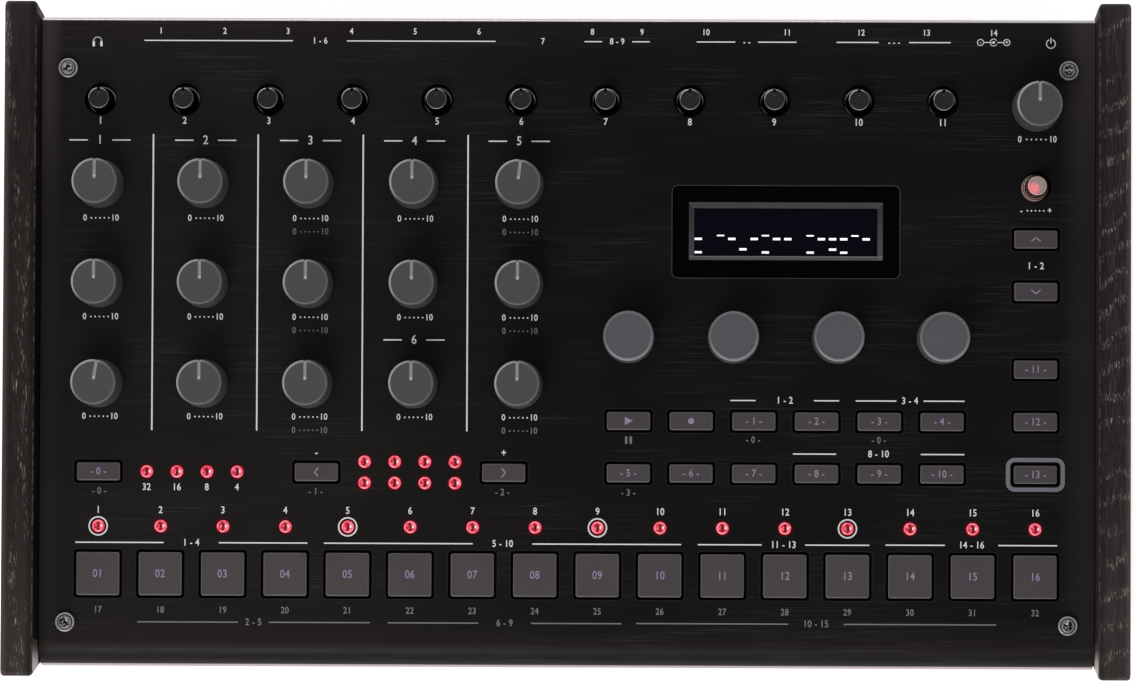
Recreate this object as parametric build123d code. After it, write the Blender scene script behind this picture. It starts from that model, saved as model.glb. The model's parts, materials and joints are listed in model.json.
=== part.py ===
from build123d import *
import os
from math import cos, radians, sin, tan

os.makedirs("parts", exist_ok=True)

# Drum machine: a folded sheet-metal case between two wooden cheeks.
# Row frame in mm: +X to the player's right, +Y to the rear, +Z up.
# The origin is on the table, under the middle of the case.

# ---------------------------------------------------------------- case sizes
case_width = 366.0          # outside of the two cheeks
case_depth = 219.6          # length of a cheek along its top
cheek_thickness = 10.5
cheek_bottom_z = 3.5
cheek_proud_front = 10.7    # how far a cheek stands above the panel
cheek_proud_rear = 5.7
cheek_corner_radius = 1.6
cheek_edge_radius = 0.6
front_undercut = 11.0       # degrees, the front leans in towards the table
rear_undercut = 3.5
panel_slope = 6.0           # degrees, rises to the rear
panel_mid_z = 42.0
front_inset = 4.2           # panel behind the front corner of the cheeks
rear_inset = 3.8
side_gap = 0.3              # between the metal and each cheek
sheet = 1.5
front_bend_radius = 8.0
rear_bend_radius = 2.0
skirt_bottom_z = 5.2
rear_flange_height = 8.0
tray_bottom_z = 4.0
tray_front_flange = 10.0
tray_rear_flange = 6.5
side_flange_height = 21.0
side_flange_end_gap = 16.0
seam_gap = 0.3              # loose fit between two metal edges

# ---------------------------------------------------------- controls, layout
dial_columns = 5
dial_rows = 3
dial_pitch_u = 34.3
dial_pitch_v = 32.6
dial_first_v = 51.4
outer_column_u = 152.95     # first and last column of the panel
volume_v = 77.3
tempo_v = 51.4
trim_count = 11
trim_last_u = 122.5
trim_v = 79.2
encoder_count = 4
encoder_first_u = 20.2
encoder_last_u = 122.5
encoder_v = 1.7
pad_count = 16
pad_v = -76.0
step_led_v = -60.45
key_row_v = -42.6
upper_key_row_v = -25.5
key_columns = 6
length_key_u = (-81.7, -20.5)
page_key_v = (34.2, 17.1)
side_key_v = (-8.3, -25.4, -42.6)
time_led_u = -137.2
length_led_u = -66.0
small_led_pitch = 9.85
small_led_columns = 4
length_led_rise = 3.45      # each length row above or below the key row
display_u = (encoder_first_u + encoder_last_u) / 2
display_v = 36.4
screw_edge = 8.7            # panel screw from the side of the panel
screw_front = 14.6          # panel screw from the front end of the panel
screw_rear = 17.1

# ------------------------------------------------------------ controls, sizes
dial_base_d = 15.9
dial_top_d = 14.7
dial_top_w = 14.0           # top of a dial above the panel
dial_gap = 1.0              # dial above the panel
dial_rim_radius = 0.7
pointer_width = 1.3
pointer_depth = 0.5
pointer_start = 0.6         # pointer's inner end, from the dial's axis
dial_turned = {"dial_a3": -9.0, "dial_e1": -7.0}    # degrees, where left turned
encoder_base_d = 16.8
encoder_top_d = 16.3
encoder_rim_radius = 1.1
shaft_d = 6.0
shaft_hole_d = 7.4
running_gap = 0.15          # a shaft in its bearing
trim_d = 6.7
trim_top_w = 5.0
trim_edge = 0.3
trim_collar_d = 9.0
trim_collar_w = (-1.6, -0.1)    # collar's bottom and top, within the sheet's hole
trim_hole_d = 10.6
trim_stem_d = 3.0
trim_slot_width = 1.0
trim_slot_depth = 0.5
trim_slot_length = 1.6
tempo_d = 6.4
tempo_edge = 0.5
tempo_hole_d = 10.0
tempo_foot_d = 8.6
tempo_foot_height = 3.0
tempo_ribs = 18
tempo_rib_d = 0.6
tempo_rib_drop = 1.0        # ribs end below the knob's top
key_width = 14.1
key_height = 5.9
key_top_w = 0.5
key_skirt = 3.2             # key's wall below the panel's face
key_gap = 0.7
key_corner = 0.7
key_edge = 0.35             # chamfer round the top of a key
pad_size = 14.1
key_travel = 0.6
lip_width = 0.5             # retaining lip wider than the hole, each side
lip_height = 1.0
stem_size = 3.6             # square stem under a key
led_d = 4.2
led_hole_d = 4.6
led_dome_w = 0.3
led_seat_w = -4.6
led_spacer = 4.6            # square spacer under each lamp
led_dome_edge = 0.6
display_width = 73.3
display_height = 29.4
display_gap = 0.3
display_corner = 1.7
display_sink = 0.2
display_depth = 2.4
display_lip = 1.6
window_width = 59.9
window_height = 15.6
window_bevel_x = 1.7
window_bevel_y = 1.9
module_width = 80.0
module_height = 32.0
glass_margin_x = 4.0        # screen glass beyond the window, each side
glass_margin_y = 3.0
glass_thickness = 2.4
module_pins = (68.0, 2.5)   # pin header's length and width
module_pins_edge = 3.0      # header's middle from the module's rear edge

# --------------------------------------------------------------- inside sizes
board_drop = 9.5            # control board below the sheet
board_thickness = 1.6
board_side_clear = 14.5
board_front_clear = 8.8
board_rear_clear = 18.5
pot_width = 9.8
pot_length = 11.0
pot_height = 6.8
pot_neck_d = 7.4
pot_neck_height = 2.0
encoder_body = 12.0
trim_body = 9.4
trim_body_height = 5.0
bearing_depth = 5.2
trim_bearing_depth = 4.2
switch_size = 6.0
switch_height = 3.4
plunger_d = 3.5
plunger_height = 1.4
press_gap = 0.3             # key above its switch when pressed
spacer_d = 5.0
spacer_places = ((-101.5, 35.1), (2.2, 35.1), (137.7, 35.1), (-101.5, -30.0), (2.2, -30.0),
                 (137.7, -17.0), (-101.5, -91.0), (0.0, -91.0), (101.5, -91.0))
block_length = 12.0
block_height = 11.0
jack_board_top_z = 14.0
jack_board_depth = 28.0
jack_board_edge = 0.8
jack_post_d = 6.0
jack_post_x = (-143.9, -60.5, 31.1, 128.8)
jack_post_edge = 4.5        # post from the board's front edge

# ------------------------------------------------------------- rear connectors
audio_first_x = -154.3
audio_pitch = 20.85
audio_count = 8
audio_bore_d = 6.4
audio_body_width = 15.6
audio_body_length = 24.0
audio_body_height = 19.0
audio_axis_rise = 11.0      # jack axis above its board
audio_nose_d = 9.4
audio_nut_d = 12.4
audio_bore_depth = 21.0
sync_x = (7.6, 23.8)
sync_bore_d = 3.6
sync_body_width = 8.4
sync_body_length = 12.0
sync_body_height = 9.0
sync_axis_rise = 5.4
sync_nose_d = 5.8
sync_nut_d = 8.2
sync_bore_depth = 14.0
nose_proud = 2.6            # threaded nose beyond the rear panel
nut_height = 2.0
hole_gap = 0.3              # panel hole around what stands in it
midi_x = (44.7, 71.4)
midi_body_width = 20.4
midi_body_height = 20.0
midi_body_length = 13.0
midi_axis_rise = 10.4
midi_shell_d = 15.0
midi_recess_d = 13.4
midi_core_d = 11.6          # insulator with the pin holes, standing in the recess
midi_recess_depth = 7.0
midi_pin_circle_d = 8.8
midi_pin_d = 1.5
midi_pin_count = 5
usb_square_x = 95.3
usb_flat_x = 116.8
usb_square = (12.0, 11.0, 16.0)     # width, height, length
usb_square_mouth = (8.5, 7.8)
usb_square_tongue = (5.6, 3.1)
usb_flat = (13.2, 5.8, 14.0)
usb_flat_mouth = (12.4, 5.0)
usb_flat_tongue = (11.1, 1.8)
usb_mouth_depth = 8.5
usb_proud = 0.5
inlet_x = 138.7
inlet_width = 9.0
inlet_height = 11.0
inlet_length = 14.0
inlet_bore_d = 6.3
inlet_pin_d = 2.1
inlet_depth = 9.0
power_x = 157.3
power_body = 8.4
power_body_length = 13.0
power_body_wall = 2.0
power_axis_rise = 8.0
power_button_d = 6.4
power_hole_d = 7.4
power_proud = 4.0
power_travel = 2.5
power_stem_d = 3.6
power_button_edge = 0.6

# ------------------------------------------------------------------- fasteners
panel_screw_head_d = 6.5
panel_screw_head_height = 2.0
panel_screw_socket_d = 3.0
panel_screw_socket_depth = 1.1
machine_screw_d = 2.9
screw_clearance = 0.5
panel_screw_length = 8.0
wood_screw_d = 3.5
wood_screw_length = 9.0
wood_screw_head_d = 6.8
wood_screw_head_height = 2.2
wood_screw_from_ends = 34.0
wood_screw_rise = 12.0
small_head_d = 4.6
small_head_height = 1.6
small_screw_length = 5.0
rear_screw_x = (-166.0, -18.5, 84.0)
rear_screw_rise = 3.2
foot_d = 14.0
foot_sole_d = 12.6
foot_from_side = 33.0
foot_from_end = 25.0
foot_recess_d = 6.6
foot_recess_depth = 2.2
foot_screw_head_d = 5.6
foot_screw_length = 4.0

# ------------------------------------------------------------ worked-out sizes
slope = radians(panel_slope)
front_y = -case_depth / 2
rear_y = case_depth / 2
panel_front_y = front_y + front_inset
wall_y = rear_y - rear_inset                    # outside of the rear bend
panel_mid_y = (panel_front_y + wall_y) / 2
panel_length = (wall_y - panel_front_y) / cos(slope)
panel_width = case_width - 2 * (cheek_thickness + side_gap)
cheek_inner_x = case_width / 2 - cheek_thickness
panel = Plane(origin=(0, panel_mid_y, panel_mid_z), x_dir=(1, 0, 0), z_dir=(0, -sin(slope), cos(slope)))
board_top_w = -sheet - board_drop
board_bottom_w = board_top_w - board_thickness
tray_top_z = tray_bottom_z + sheet
skirt_turn = radians(90 + front_undercut - panel_slope)
skirt_lean = tan(radians(front_undercut))
skirt_corner_v = -panel_length / 2 + front_bend_radius - front_bend_radius * tan(skirt_turn / 2)
rear_panel_y = wall_y - sheet                   # outer face of the rear panel
rear_inner_y = rear_panel_y - sheet
dial_first_u = -outer_column_u
pad_pitch = 2 * outer_column_u / (pad_count - 1)
trim_pitch = (trim_last_u + outer_column_u) / (trim_count - 1)
encoder_pitch = (encoder_last_u - encoder_first_u) / (encoder_count - 1)
key_pitch = (encoder_last_u - encoder_first_u) / (key_columns - 1)
dial_places = {
    f"dial_{'abcde'[c]}{r + 1}": (dial_first_u + c * dial_pitch_u, dial_first_v - r * dial_pitch_v)
    for c in range(dial_columns) for r in range(dial_rows)
}
dial_places["volume_dial"] = (outer_column_u, volume_v)
encoder_places = {f"encoder_{i + 1}": (encoder_first_u + i * encoder_pitch, encoder_v) for i in range(encoder_count)}
trim_places = {f"level_trim_{i + 1}": (-outer_column_u + i * trim_pitch, trim_v) for i in range(trim_count)}
tempo_place = (outer_column_u, tempo_v)
pad_places = [(-outer_column_u + i * pad_pitch, pad_v) for i in range(pad_count)]
key_banks = {
    "transport_keys": [(encoder_first_u + i * key_pitch, upper_key_row_v) for i in range(key_columns)],
    "mode_keys": [(encoder_first_u + i * key_pitch, key_row_v) for i in range(key_columns)],
    "page_keys": [(outer_column_u, v) for v in page_key_v],
    "side_keys": [(outer_column_u, v) for v in side_key_v],
    "time_and_length_keys": [(-outer_column_u, key_row_v)] + [(u, key_row_v) for u in length_key_u],
}
key_places = [place for bank in key_banks.values() for place in bank]
led_places = [(u, step_led_v) for u, _ in pad_places]
led_places += [(time_led_u + i * small_led_pitch, key_row_v) for i in range(small_led_columns)]
led_places += [(length_led_u + i * small_led_pitch, key_row_v + side * length_led_rise)
               for i in range(small_led_columns) for side in (1, -1)]
screw_places = [(side * (panel_width / 2 - screw_edge), v) for side in (-1, 1)
                for v in (-panel_length / 2 + screw_front, panel_length / 2 - screw_rear)]
audio_places = [audio_first_x + i * audio_pitch for i in range(audio_count)]
wood_screw_y = (front_y + wood_screw_from_ends, 0.0, rear_y - wood_screw_from_ends)
foot_places = [(sx * (case_width / 2 - foot_from_side), sy * (case_depth / 2 - foot_from_end))
               for sx in (-1, 1) for sy in (-1, 1)]


# ------------------------------------------------------------------ helpers
def save(shape, node):
    export_step(shape, f"parts/{node}.step")


def on_panel(shape):
    # moves a shape drawn in panel coordinates (u, v, w) to its place
    return panel.location * shape


def panel_point(v, w):
    # (Y, Z) of a point of the panel's side view
    return (panel_mid_y + v * cos(slope) - w * sin(slope), panel_mid_z + v * sin(slope) + w * cos(slope))


def panel_z(y):
    return panel_mid_z + (y - panel_mid_y) * tan(slope)


def rod(d, low, high, u=0, v=0):
    # cylinder along the third axis between two heights
    return Pos(u, v, (low + high) / 2) * Cylinder(d / 2, high - low)


def rod_back(d, near, far, x, z):
    # cylinder along +Y between two Y values
    return Pos(x, (near + far) / 2, z) * Rot(90, 0, 0) * Cylinder(d / 2, far - near)


def slab(width, length, low, high, u=0, v=0):
    return Pos(u, v, (low + high) / 2) * Box(width, length, high - low)


def brick(x, y, z):
    # box from three (low, high) pairs
    return Pos((x[0] + x[1]) / 2, (y[0] + y[1]) / 2, (z[0] + z[1]) / 2) * Box(x[1] - x[0], y[1] - y[0], z[1] - z[0])


def cushion(width, length, corner, low, high, u=0, v=0):
    # prism with rounded corners
    return Pos(u, v, low) * extrude(RectangleRounded(width, length, corner), high - low)


def group(solids):
    return Compound(children=list(solids))


# -------------------------------------------------------------------- case
def cheek(side):
    low_front = front_y + (panel_z(front_y) + cheek_proud_front - cheek_bottom_z) * tan(radians(front_undercut))
    low_rear = rear_y - (panel_z(rear_y) + cheek_proud_rear - cheek_bottom_z) * tan(radians(rear_undercut))
    outline = make_face(Polyline(
        (front_y, panel_z(front_y) + cheek_proud_front), (rear_y, panel_z(rear_y) + cheek_proud_rear),
        (low_rear, cheek_bottom_z), (low_front, cheek_bottom_z), close=True))
    outline = fillet(outline.vertices(), cheek_corner_radius)
    board = extrude(Plane.YZ * outline, cheek_thickness)
    board = fillet(board.faces().filter_by(Axis.X).edges(), cheek_edge_radius)
    board = Pos(cheek_inner_x, 0, 0) * board
    for y in wood_screw_y:
        pilot = Pos(cheek_inner_x + wood_screw_length / 2, y, tray_top_z + wood_screw_rise)
        board -= pilot * Rot(0, 90, 0) * Cylinder(wood_screw_d / 2, wood_screw_length)
    return board if side > 0 else mirror(board, Plane.YZ)


def folded_sheet(centre_line, radii, width):
    # sheet metal bent along a centre line given as (Y, Z) points
    path = FilletPolyline(*centre_line, radius=radii)
    return extrude(Plane.YZ * trace(path, line_width=sheet), width / 2, both=True)


def top_panel():
    # corners on the centre line, half a sheet inside the outer ones
    corner = panel_point(skirt_corner_v + sheet / 2 * tan(skirt_turn / 2), -sheet / 2)
    rear_corner = (wall_y - sheet / 2, panel_z(wall_y - sheet / 2) - sheet / 2 / cos(slope))
    skirt_end = (corner[0] + (corner[1] - skirt_bottom_z) * skirt_lean, skirt_bottom_z)
    flange_end = (rear_corner[0], rear_corner[1] - rear_flange_height)
    body = folded_sheet([skirt_end, corner, rear_corner, flange_end],
                        [front_bend_radius - sheet / 2, rear_bend_radius - sheet / 2], panel_width)
    low, high = -2 * sheet, sheet
    holes = [rod(shaft_hole_d, low, high, *p) for p in [*dial_places.values(), *encoder_places.values()]]
    holes += [rod(trim_hole_d, low, high, *p) for p in trim_places.values()]
    holes += [rod(tempo_hole_d, low, high, *tempo_place)]
    holes += [rod(led_hole_d, low, high, *p) for p in led_places]
    holes += [rod(machine_screw_d + screw_clearance, low, high, *p) for p in screw_places]
    holes += [cushion(key_width + 2 * key_gap, key_height + 2 * key_gap, key_corner + key_gap / 2, low, high, *p)
              for p in key_places]
    holes += [cushion(pad_size + 2 * key_gap, pad_size + 2 * key_gap, key_corner + key_gap / 2, low, high, *p)
              for p in pad_places]
    holes += [cushion(display_width + 2 * display_gap, display_height + 2 * display_gap, display_corner,
                      low, high, display_u, display_v)]
    return body - [on_panel(h) for h in holes]


def tray_front_line():
    # (Y, Z) of the tray's front bend and its flange's end, on the sheet's centre
    y, z = panel_point(skirt_corner_v, 0)
    inside = 1.5 * sheet / cos(radians(front_undercut))
    low_z, high_z = tray_bottom_z + sheet / 2, tray_top_z + tray_front_flange
    return [(y + (z - height) * skirt_lean + inside, height) for height in (high_z, low_z)]


def bottom_tray():
    low_z = tray_bottom_z + sheet / 2
    rear_low = (rear_inner_y - sheet / 2, low_z)
    line = tray_front_line() + [rear_low, (rear_low[0], tray_top_z + tray_rear_flange)]
    body = folded_sheet(line, sheet, panel_width)
    flange_y = (front_y + side_flange_end_gap + tray_front_flange, rear_y - side_flange_end_gap)
    for side in (-1, 1):
        edge = side * panel_width / 2
        body += brick(sorted((edge, edge - side * sheet)), flange_y, (low_z, tray_top_z + side_flange_height))
        for y in wood_screw_y:
            hole = Pos(edge, y, tray_top_z + wood_screw_rise) * Rot(0, 90, 0)
            body -= hole * Cylinder((wood_screw_d + screw_clearance) / 2, 4 * sheet)
    for x, y in foot_places:
        body -= rod(machine_screw_d, tray_bottom_z - 1, tray_top_z + 1, x, y)
    for x in rear_screw_x:
        body -= rod_back(machine_screw_d, rear_inner_y - 2 * sheet, rear_inner_y + 1, x, tray_top_z + rear_screw_rise)
    return body


def rear_panel():
    top_z = panel_z(rear_inner_y) - sheet / cos(slope) - (rear_bend_radius - sheet) - seam_gap
    plate = brick((-panel_width / 2, panel_width / 2), (rear_inner_y, rear_panel_y), (tray_top_z + seam_gap / 2, top_z))
    near, far = rear_inner_y - 1, rear_panel_y + 1
    holes = [rod_back(audio_nose_d + 2 * hole_gap, near, far, x, jack_board_top_z + audio_axis_rise)
             for x in audio_places]
    holes += [rod_back(sync_nose_d + 2 * hole_gap, near, far, x, jack_board_top_z + sync_axis_rise) for x in sync_x]
    holes += [rod_back(midi_shell_d + 2 * hole_gap, near, far, x, jack_board_top_z + midi_axis_rise) for x in midi_x]
    holes += [rod_back(machine_screw_d + screw_clearance, near, far, x, tray_top_z + rear_screw_rise)
              for x in rear_screw_x]
    holes += [rod_back(power_hole_d, near, far, power_x, jack_board_top_z + power_axis_rise)]
    for x, (width, height) in ((usb_square_x, usb_square[:2]), (usb_flat_x, usb_flat[:2]),
                               (inlet_x, (inlet_width, inlet_height))):
        holes += [brick((x - width / 2 - hole_gap, x + width / 2 + hole_gap), (near, far),
                        (jack_board_top_z - hole_gap, jack_board_top_z + height + hole_gap))]
    return plate - holes


def rubber_foot(x, y):
    foot = Pos(x, y, tray_bottom_z / 2) * Cone(foot_sole_d / 2, foot_d / 2, tray_bottom_z)
    foot -= rod(foot_recess_d, -1, foot_recess_depth, x, y)
    return foot - rod(machine_screw_d, 0, tray_bottom_z + 1, x, y)


# ---------------------------------------------------------------- fasteners
def panel_screw(u, v):
    head = rod(panel_screw_head_d, 0, panel_screw_head_height, u, v)
    head = fillet(head.edges().group_by(Axis.Z)[-1], panel_screw_head_height / 4)
    socket = Pos(u, v, panel_screw_head_height - panel_screw_socket_depth)
    head -= socket * extrude(RegularPolygon(panel_screw_socket_d / 2, 6), panel_screw_socket_depth)
    return on_panel(head + rod(machine_screw_d, -panel_screw_length, 0, u, v))


def wood_screw(side, y):
    face = side * (panel_width / 2 - sheet)
    screw = Rot(0, 90, 0) * Cylinder(wood_screw_d / 2, wood_screw_length)
    head = Rot(0, 90, 0) * Cylinder(wood_screw_head_d / 2, wood_screw_head_height)
    place = Pos(face, y, tray_top_z + wood_screw_rise)
    return place * (Pos(side * wood_screw_length / 2, 0, 0) * screw
                    + Pos(-side * wood_screw_head_height / 2, 0, 0) * head)


def ring_nut(x, z, outer_d, inner_d):
    ring = rod_back(outer_d, rear_panel_y, rear_panel_y + nut_height, x, z)
    ring = chamfer(ring.edges().group_by(Axis.Y)[-1], nut_height / 4)
    return ring - rod_back(inner_d, rear_panel_y - 1, rear_panel_y + nut_height + 1, x, z)


def foot_screw(x, y):
    head_top = foot_recess_depth
    return (rod(foot_screw_head_d, head_top - small_head_height, head_top, x, y)
            + rod(machine_screw_d, head_top, head_top + foot_screw_length, x, y))


def rear_screw(x):
    z = tray_top_z + rear_screw_rise
    return (rod_back(small_head_d, rear_panel_y, rear_panel_y + small_head_height, x, z)
            + rod_back(machine_screw_d, rear_panel_y - small_screw_length, rear_panel_y, x, z))


def board_screw(u, v):
    return on_panel(rod(small_head_d, board_bottom_w - small_head_height, board_bottom_w, u, v)
                    + rod(machine_screw_d, board_bottom_w, board_bottom_w + small_screw_length, u, v))


def jack_board_screw(x):
    y = jack_board_front_y + jack_post_edge
    return (rod(small_head_d, jack_board_top_z, jack_board_top_z + small_head_height, x, y)
            + rod(machine_screw_d, jack_board_top_z - small_screw_length, jack_board_top_z, x, y))


def case_fasteners():
    parts = [wood_screw(side, y) for side in (-1, 1) for y in wood_screw_y]
    parts += [ring_nut(x, jack_board_top_z + audio_axis_rise, audio_nut_d, audio_nose_d) for x in audio_places]
    parts += [ring_nut(x, jack_board_top_z + sync_axis_rise, sync_nut_d, sync_nose_d) for x in sync_x]
    parts += [foot_screw(x, y) for x, y in foot_places]
    parts += [rear_screw(x) for x in rear_screw_x]
    parts += [board_screw(u, v) for u, v in spacer_places]
    parts += [jack_board_screw(x) for x in jack_post_x]
    return group(parts)


# ------------------------------------------------------------ boards and posts
jack_board_rear_y = rear_inner_y - jack_board_edge
jack_board_front_y = jack_board_rear_y - jack_board_depth


def upper_board():
    width = panel_width - 2 * board_side_clear
    front_v = -panel_length / 2 + board_front_clear
    rear_v = panel_length / 2 - board_rear_clear
    board = slab(width, rear_v - front_v, board_bottom_w, board_top_w, 0, (front_v + rear_v) / 2)
    board -= [rod(machine_screw_d, board_bottom_w - 1, board_top_w + 1, u, v) for u, v in spacer_places]
    return on_panel(board)


def lower_board():
    board = brick((-panel_width / 2 + jack_post_edge, panel_width / 2 - jack_post_edge),
                  (jack_board_front_y, jack_board_rear_y), (jack_board_top_z - board_thickness, jack_board_top_z))
    return board - [rod(machine_screw_d, tray_top_z, jack_board_top_z + 1, x, jack_board_front_y + jack_post_edge)
                    for x in jack_post_x]


def mounting_posts():
    posts = []
    for u, v in spacer_places:
        spacer = rod(spacer_d, board_top_w, -sheet, u, v)
        posts.append(on_panel(spacer - rod(machine_screw_d, board_top_w - 1, board_bottom_w + small_screw_length, u, v)))
    for u, v in screw_places:
        middle = (abs(u) - panel_screw_head_d / 2 + panel_width / 2) / 2
        width = panel_width - 2 * middle
        block = slab(width, block_length, -sheet - block_height, -sheet, middle if u > 0 else -middle, v)
        posts.append(on_panel(block - rod(machine_screw_d, -panel_screw_length, 0, u, v)))
    y = jack_board_front_y + jack_post_edge
    for x in jack_post_x:
        low, high = tray_top_z, jack_board_top_z - board_thickness
        posts.append(rod(jack_post_d, low, high, x, y) - rod(machine_screw_d, jack_board_top_z - small_screw_length,
                                                             high + 1, x, y))
    return group(posts)


# ------------------------------------------------------ parts of the control board
def pot_body(u, v, width, length):
    top = board_top_w + pot_height
    body = slab(width, length, board_top_w, top, u, v) + rod(pot_neck_d, top, top + pot_neck_height, u, v)
    return on_panel(body - rod(shaft_d + 2 * running_gap, top - bearing_depth, 0, u, v))


def trim_pot_body(u, v):
    top = board_top_w + trim_body_height
    body = slab(trim_body, trim_body, board_top_w, top, u, v)
    return on_panel(body - rod(trim_stem_d + 2 * running_gap, top - trim_bearing_depth, 0, u, v))


def pot_bodies():
    parts = [pot_body(*p, pot_width, pot_length) for p in dial_places.values()]
    parts += [pot_body(*p, encoder_body, encoder_body) for p in encoder_places.values()]
    parts += [trim_pot_body(*p) for p in [*trim_places.values(), tempo_place]]
    return group(parts)


def key_switch(u, v):
    top = board_top_w + switch_height
    return on_panel(slab(switch_size, switch_size, board_top_w, top, u, v)
                    + rod(plunger_d, top, top + plunger_height, u, v))


def led(u, v):
    lamp = rod(led_d, led_seat_w, led_dome_w, u, v)
    lamp = chamfer(lamp.edges().group_by(Axis.Z)[-1], led_dome_edge)
    return on_panel(lamp + slab(led_spacer, led_spacer, board_top_w, led_seat_w, u, v))


def display_bezel():
    # black frame with a bevelled window, held under the panel by a lip
    top, bottom = -display_sink, -sheet - display_depth
    body = cushion(display_width, display_height, display_corner, -sheet, top)
    body += cushion(display_width + 2 * display_lip, display_height + 2 * display_lip, display_corner, bottom, -sheet)
    mouth = Pos(0, 0, top) * Rectangle(window_width + 2 * window_bevel_x, window_height + 2 * window_bevel_y)
    throat = Pos(0, 0, -sheet) * Rectangle(window_width, window_height)
    body -= loft([throat, mouth])
    body -= slab(window_width, window_height, bottom - 1, -sheet)
    return on_panel(Pos(display_u, display_v, 0) * body)


def display_module():
    # screen glass behind the window, on its own small board above the main one
    glass_top = -sheet - display_depth
    glass_bottom = glass_top - glass_thickness
    carrier_bottom = glass_bottom - board_thickness
    glass = slab(window_width + 2 * glass_margin_x, window_height + 2 * glass_margin_y, glass_bottom, glass_top)
    carrier = slab(module_width, module_height, carrier_bottom, glass_bottom)
    pins = slab(*module_pins, board_top_w, carrier_bottom, 0, module_height / 2 - module_pins_edge)
    return on_panel(Pos(display_u, display_v, 0) * (glass + carrier + pins))


# -------------------------------------------------------------- rear sockets
def round_jack(x, rise, bore_d, size, nose_d, bore_depth):
    width, length, height = size
    z = jack_board_top_z + rise
    body = brick((x - width / 2, x + width / 2), (rear_inner_y - length, rear_inner_y),
                 (jack_board_top_z, jack_board_top_z + height))
    tip = rear_panel_y + nose_proud
    body += rod_back(nose_d, rear_inner_y - 1, tip, x, z)
    return body - rod_back(bore_d, tip - bore_depth, tip + 1, x, z)


def audio_jacks():
    audio_size = (audio_body_width, audio_body_length, audio_body_height)
    sync_size = (sync_body_width, sync_body_length, sync_body_height)
    parts = [round_jack(x, audio_axis_rise, audio_bore_d, audio_size, audio_nose_d, audio_bore_depth)
             for x in audio_places]
    parts += [round_jack(x, sync_axis_rise, sync_bore_d, sync_size, sync_nose_d, sync_bore_depth) for x in sync_x]
    return group(parts)


def midi_housing(x):
    # square body with a round recess
    z = jack_board_top_z + midi_axis_rise
    body = brick((x - midi_body_width / 2, x + midi_body_width / 2), (rear_inner_y - midi_body_length, rear_inner_y),
                 (jack_board_top_z, jack_board_top_z + midi_body_height))
    body += rod_back(midi_shell_d, rear_inner_y - 1, rear_panel_y, x, z)
    return body - rod_back(midi_recess_d, rear_panel_y - midi_recess_depth, rear_panel_y + 1, x, z)


def midi_core(x):
    # insulator with the pin holes, standing in the housing's recess
    z = jack_board_top_z + midi_axis_rise
    floor_y = rear_panel_y - midi_recess_depth
    core = rod_back(midi_core_d, floor_y, rear_panel_y, x, z)
    for i in range(midi_pin_count):
        turn = radians(180 * i / (midi_pin_count - 1))
        px, pz = x + midi_pin_circle_d / 2 * cos(turn), z + midi_pin_circle_d / 2 * sin(turn)
        core -= rod_back(midi_pin_d, floor_y, rear_panel_y + 1, px, pz)
    return core


def usb_socket(x, size, mouth, tongue, chamfered):
    width, height, length = size
    z = jack_board_top_z + height / 2
    face_y = rear_panel_y + usb_proud
    shell = brick((x - width / 2, x + width / 2), (rear_inner_y - length, face_y),
                  (jack_board_top_z, jack_board_top_z + height))
    opening = Pos(x, face_y - usb_mouth_depth / 2, z) * Box(mouth[0], usb_mouth_depth, mouth[1])
    if chamfered:
        top_edges = opening.edges().filter_by(Axis.Y).group_by(Axis.Z)[-1]
        opening = chamfer(top_edges, mouth[1] / 5)
    shell -= opening
    return shell + Pos(x, face_y - usb_mouth_depth / 2 - 0.5, z) * Box(tongue[0], usb_mouth_depth - 1, tongue[1])


def power_inlet():
    z = jack_board_top_z + inlet_height / 2
    body = brick((inlet_x - inlet_width / 2, inlet_x + inlet_width / 2), (rear_inner_y - inlet_length, rear_panel_y),
                 (jack_board_top_z, jack_board_top_z + inlet_height))
    body -= rod_back(inlet_bore_d, rear_panel_y - inlet_depth, rear_panel_y + 1, inlet_x, z)
    return body + rod_back(inlet_pin_d, rear_panel_y - inlet_depth, rear_panel_y - 1, inlet_x, z)


def power_switch_body():
    z = jack_board_top_z + power_axis_rise
    back = rear_inner_y - power_travel - 2 * seam_gap
    body = brick((power_x - power_body / 2, power_x + power_body / 2), (back - power_body_length, back),
                 (jack_board_top_z, z + power_body / 2))
    return body - rod_back(power_stem_d + 2 * running_gap, back - power_body_length + power_body_wall, back + 1,
                           power_x, z)


def data_and_power_sockets():
    parts = [midi_housing(x) for x in midi_x]
    parts += [usb_socket(usb_square_x, usb_square, usb_square_mouth, usb_square_tongue, True)]
    parts += [usb_socket(usb_flat_x, usb_flat, usb_flat_mouth, usb_flat_tongue, False)]
    parts += [power_inlet(), power_switch_body()]
    return group(parts)


# -------------------------------------------------------------- moving pieces
def dial_cap(base_d, top_d, rim_radius):
    cap = Pos(0, 0, (dial_gap + dial_top_w) / 2) * Cone(base_d / 2, top_d / 2, dial_top_w - dial_gap)
    return fillet(cap.edges().group_by(Axis.Z)[-1], rim_radius)


def dial_shaft():
    low = board_top_w + pot_height - bearing_depth + running_gap
    return rod(shaft_d, low, dial_gap + 1)


def dial(node, u, v):
    cap = dial_cap(dial_base_d, dial_top_d, dial_rim_radius)
    floor = dial_top_w - pointer_depth
    reach = dial_base_d / 2
    groove = Pos(0, (pointer_start + reach) / 2 + pointer_width / 4, floor + 1) * Box(
        pointer_width, reach - pointer_start - pointer_width / 2, 2)
    groove += rod(pointer_width, floor, floor + 2, 0, pointer_start + pointer_width / 2)
    turned = dial_turned.get(node, 0)
    return on_panel(Pos(u, v, 0) * Rot(0, 0, turned) * (cap - groove + dial_shaft()))


def encoder(u, v):
    return on_panel(Pos(u, v, 0) * (dial_cap(encoder_base_d, encoder_top_d, encoder_rim_radius) + dial_shaft()))


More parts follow.
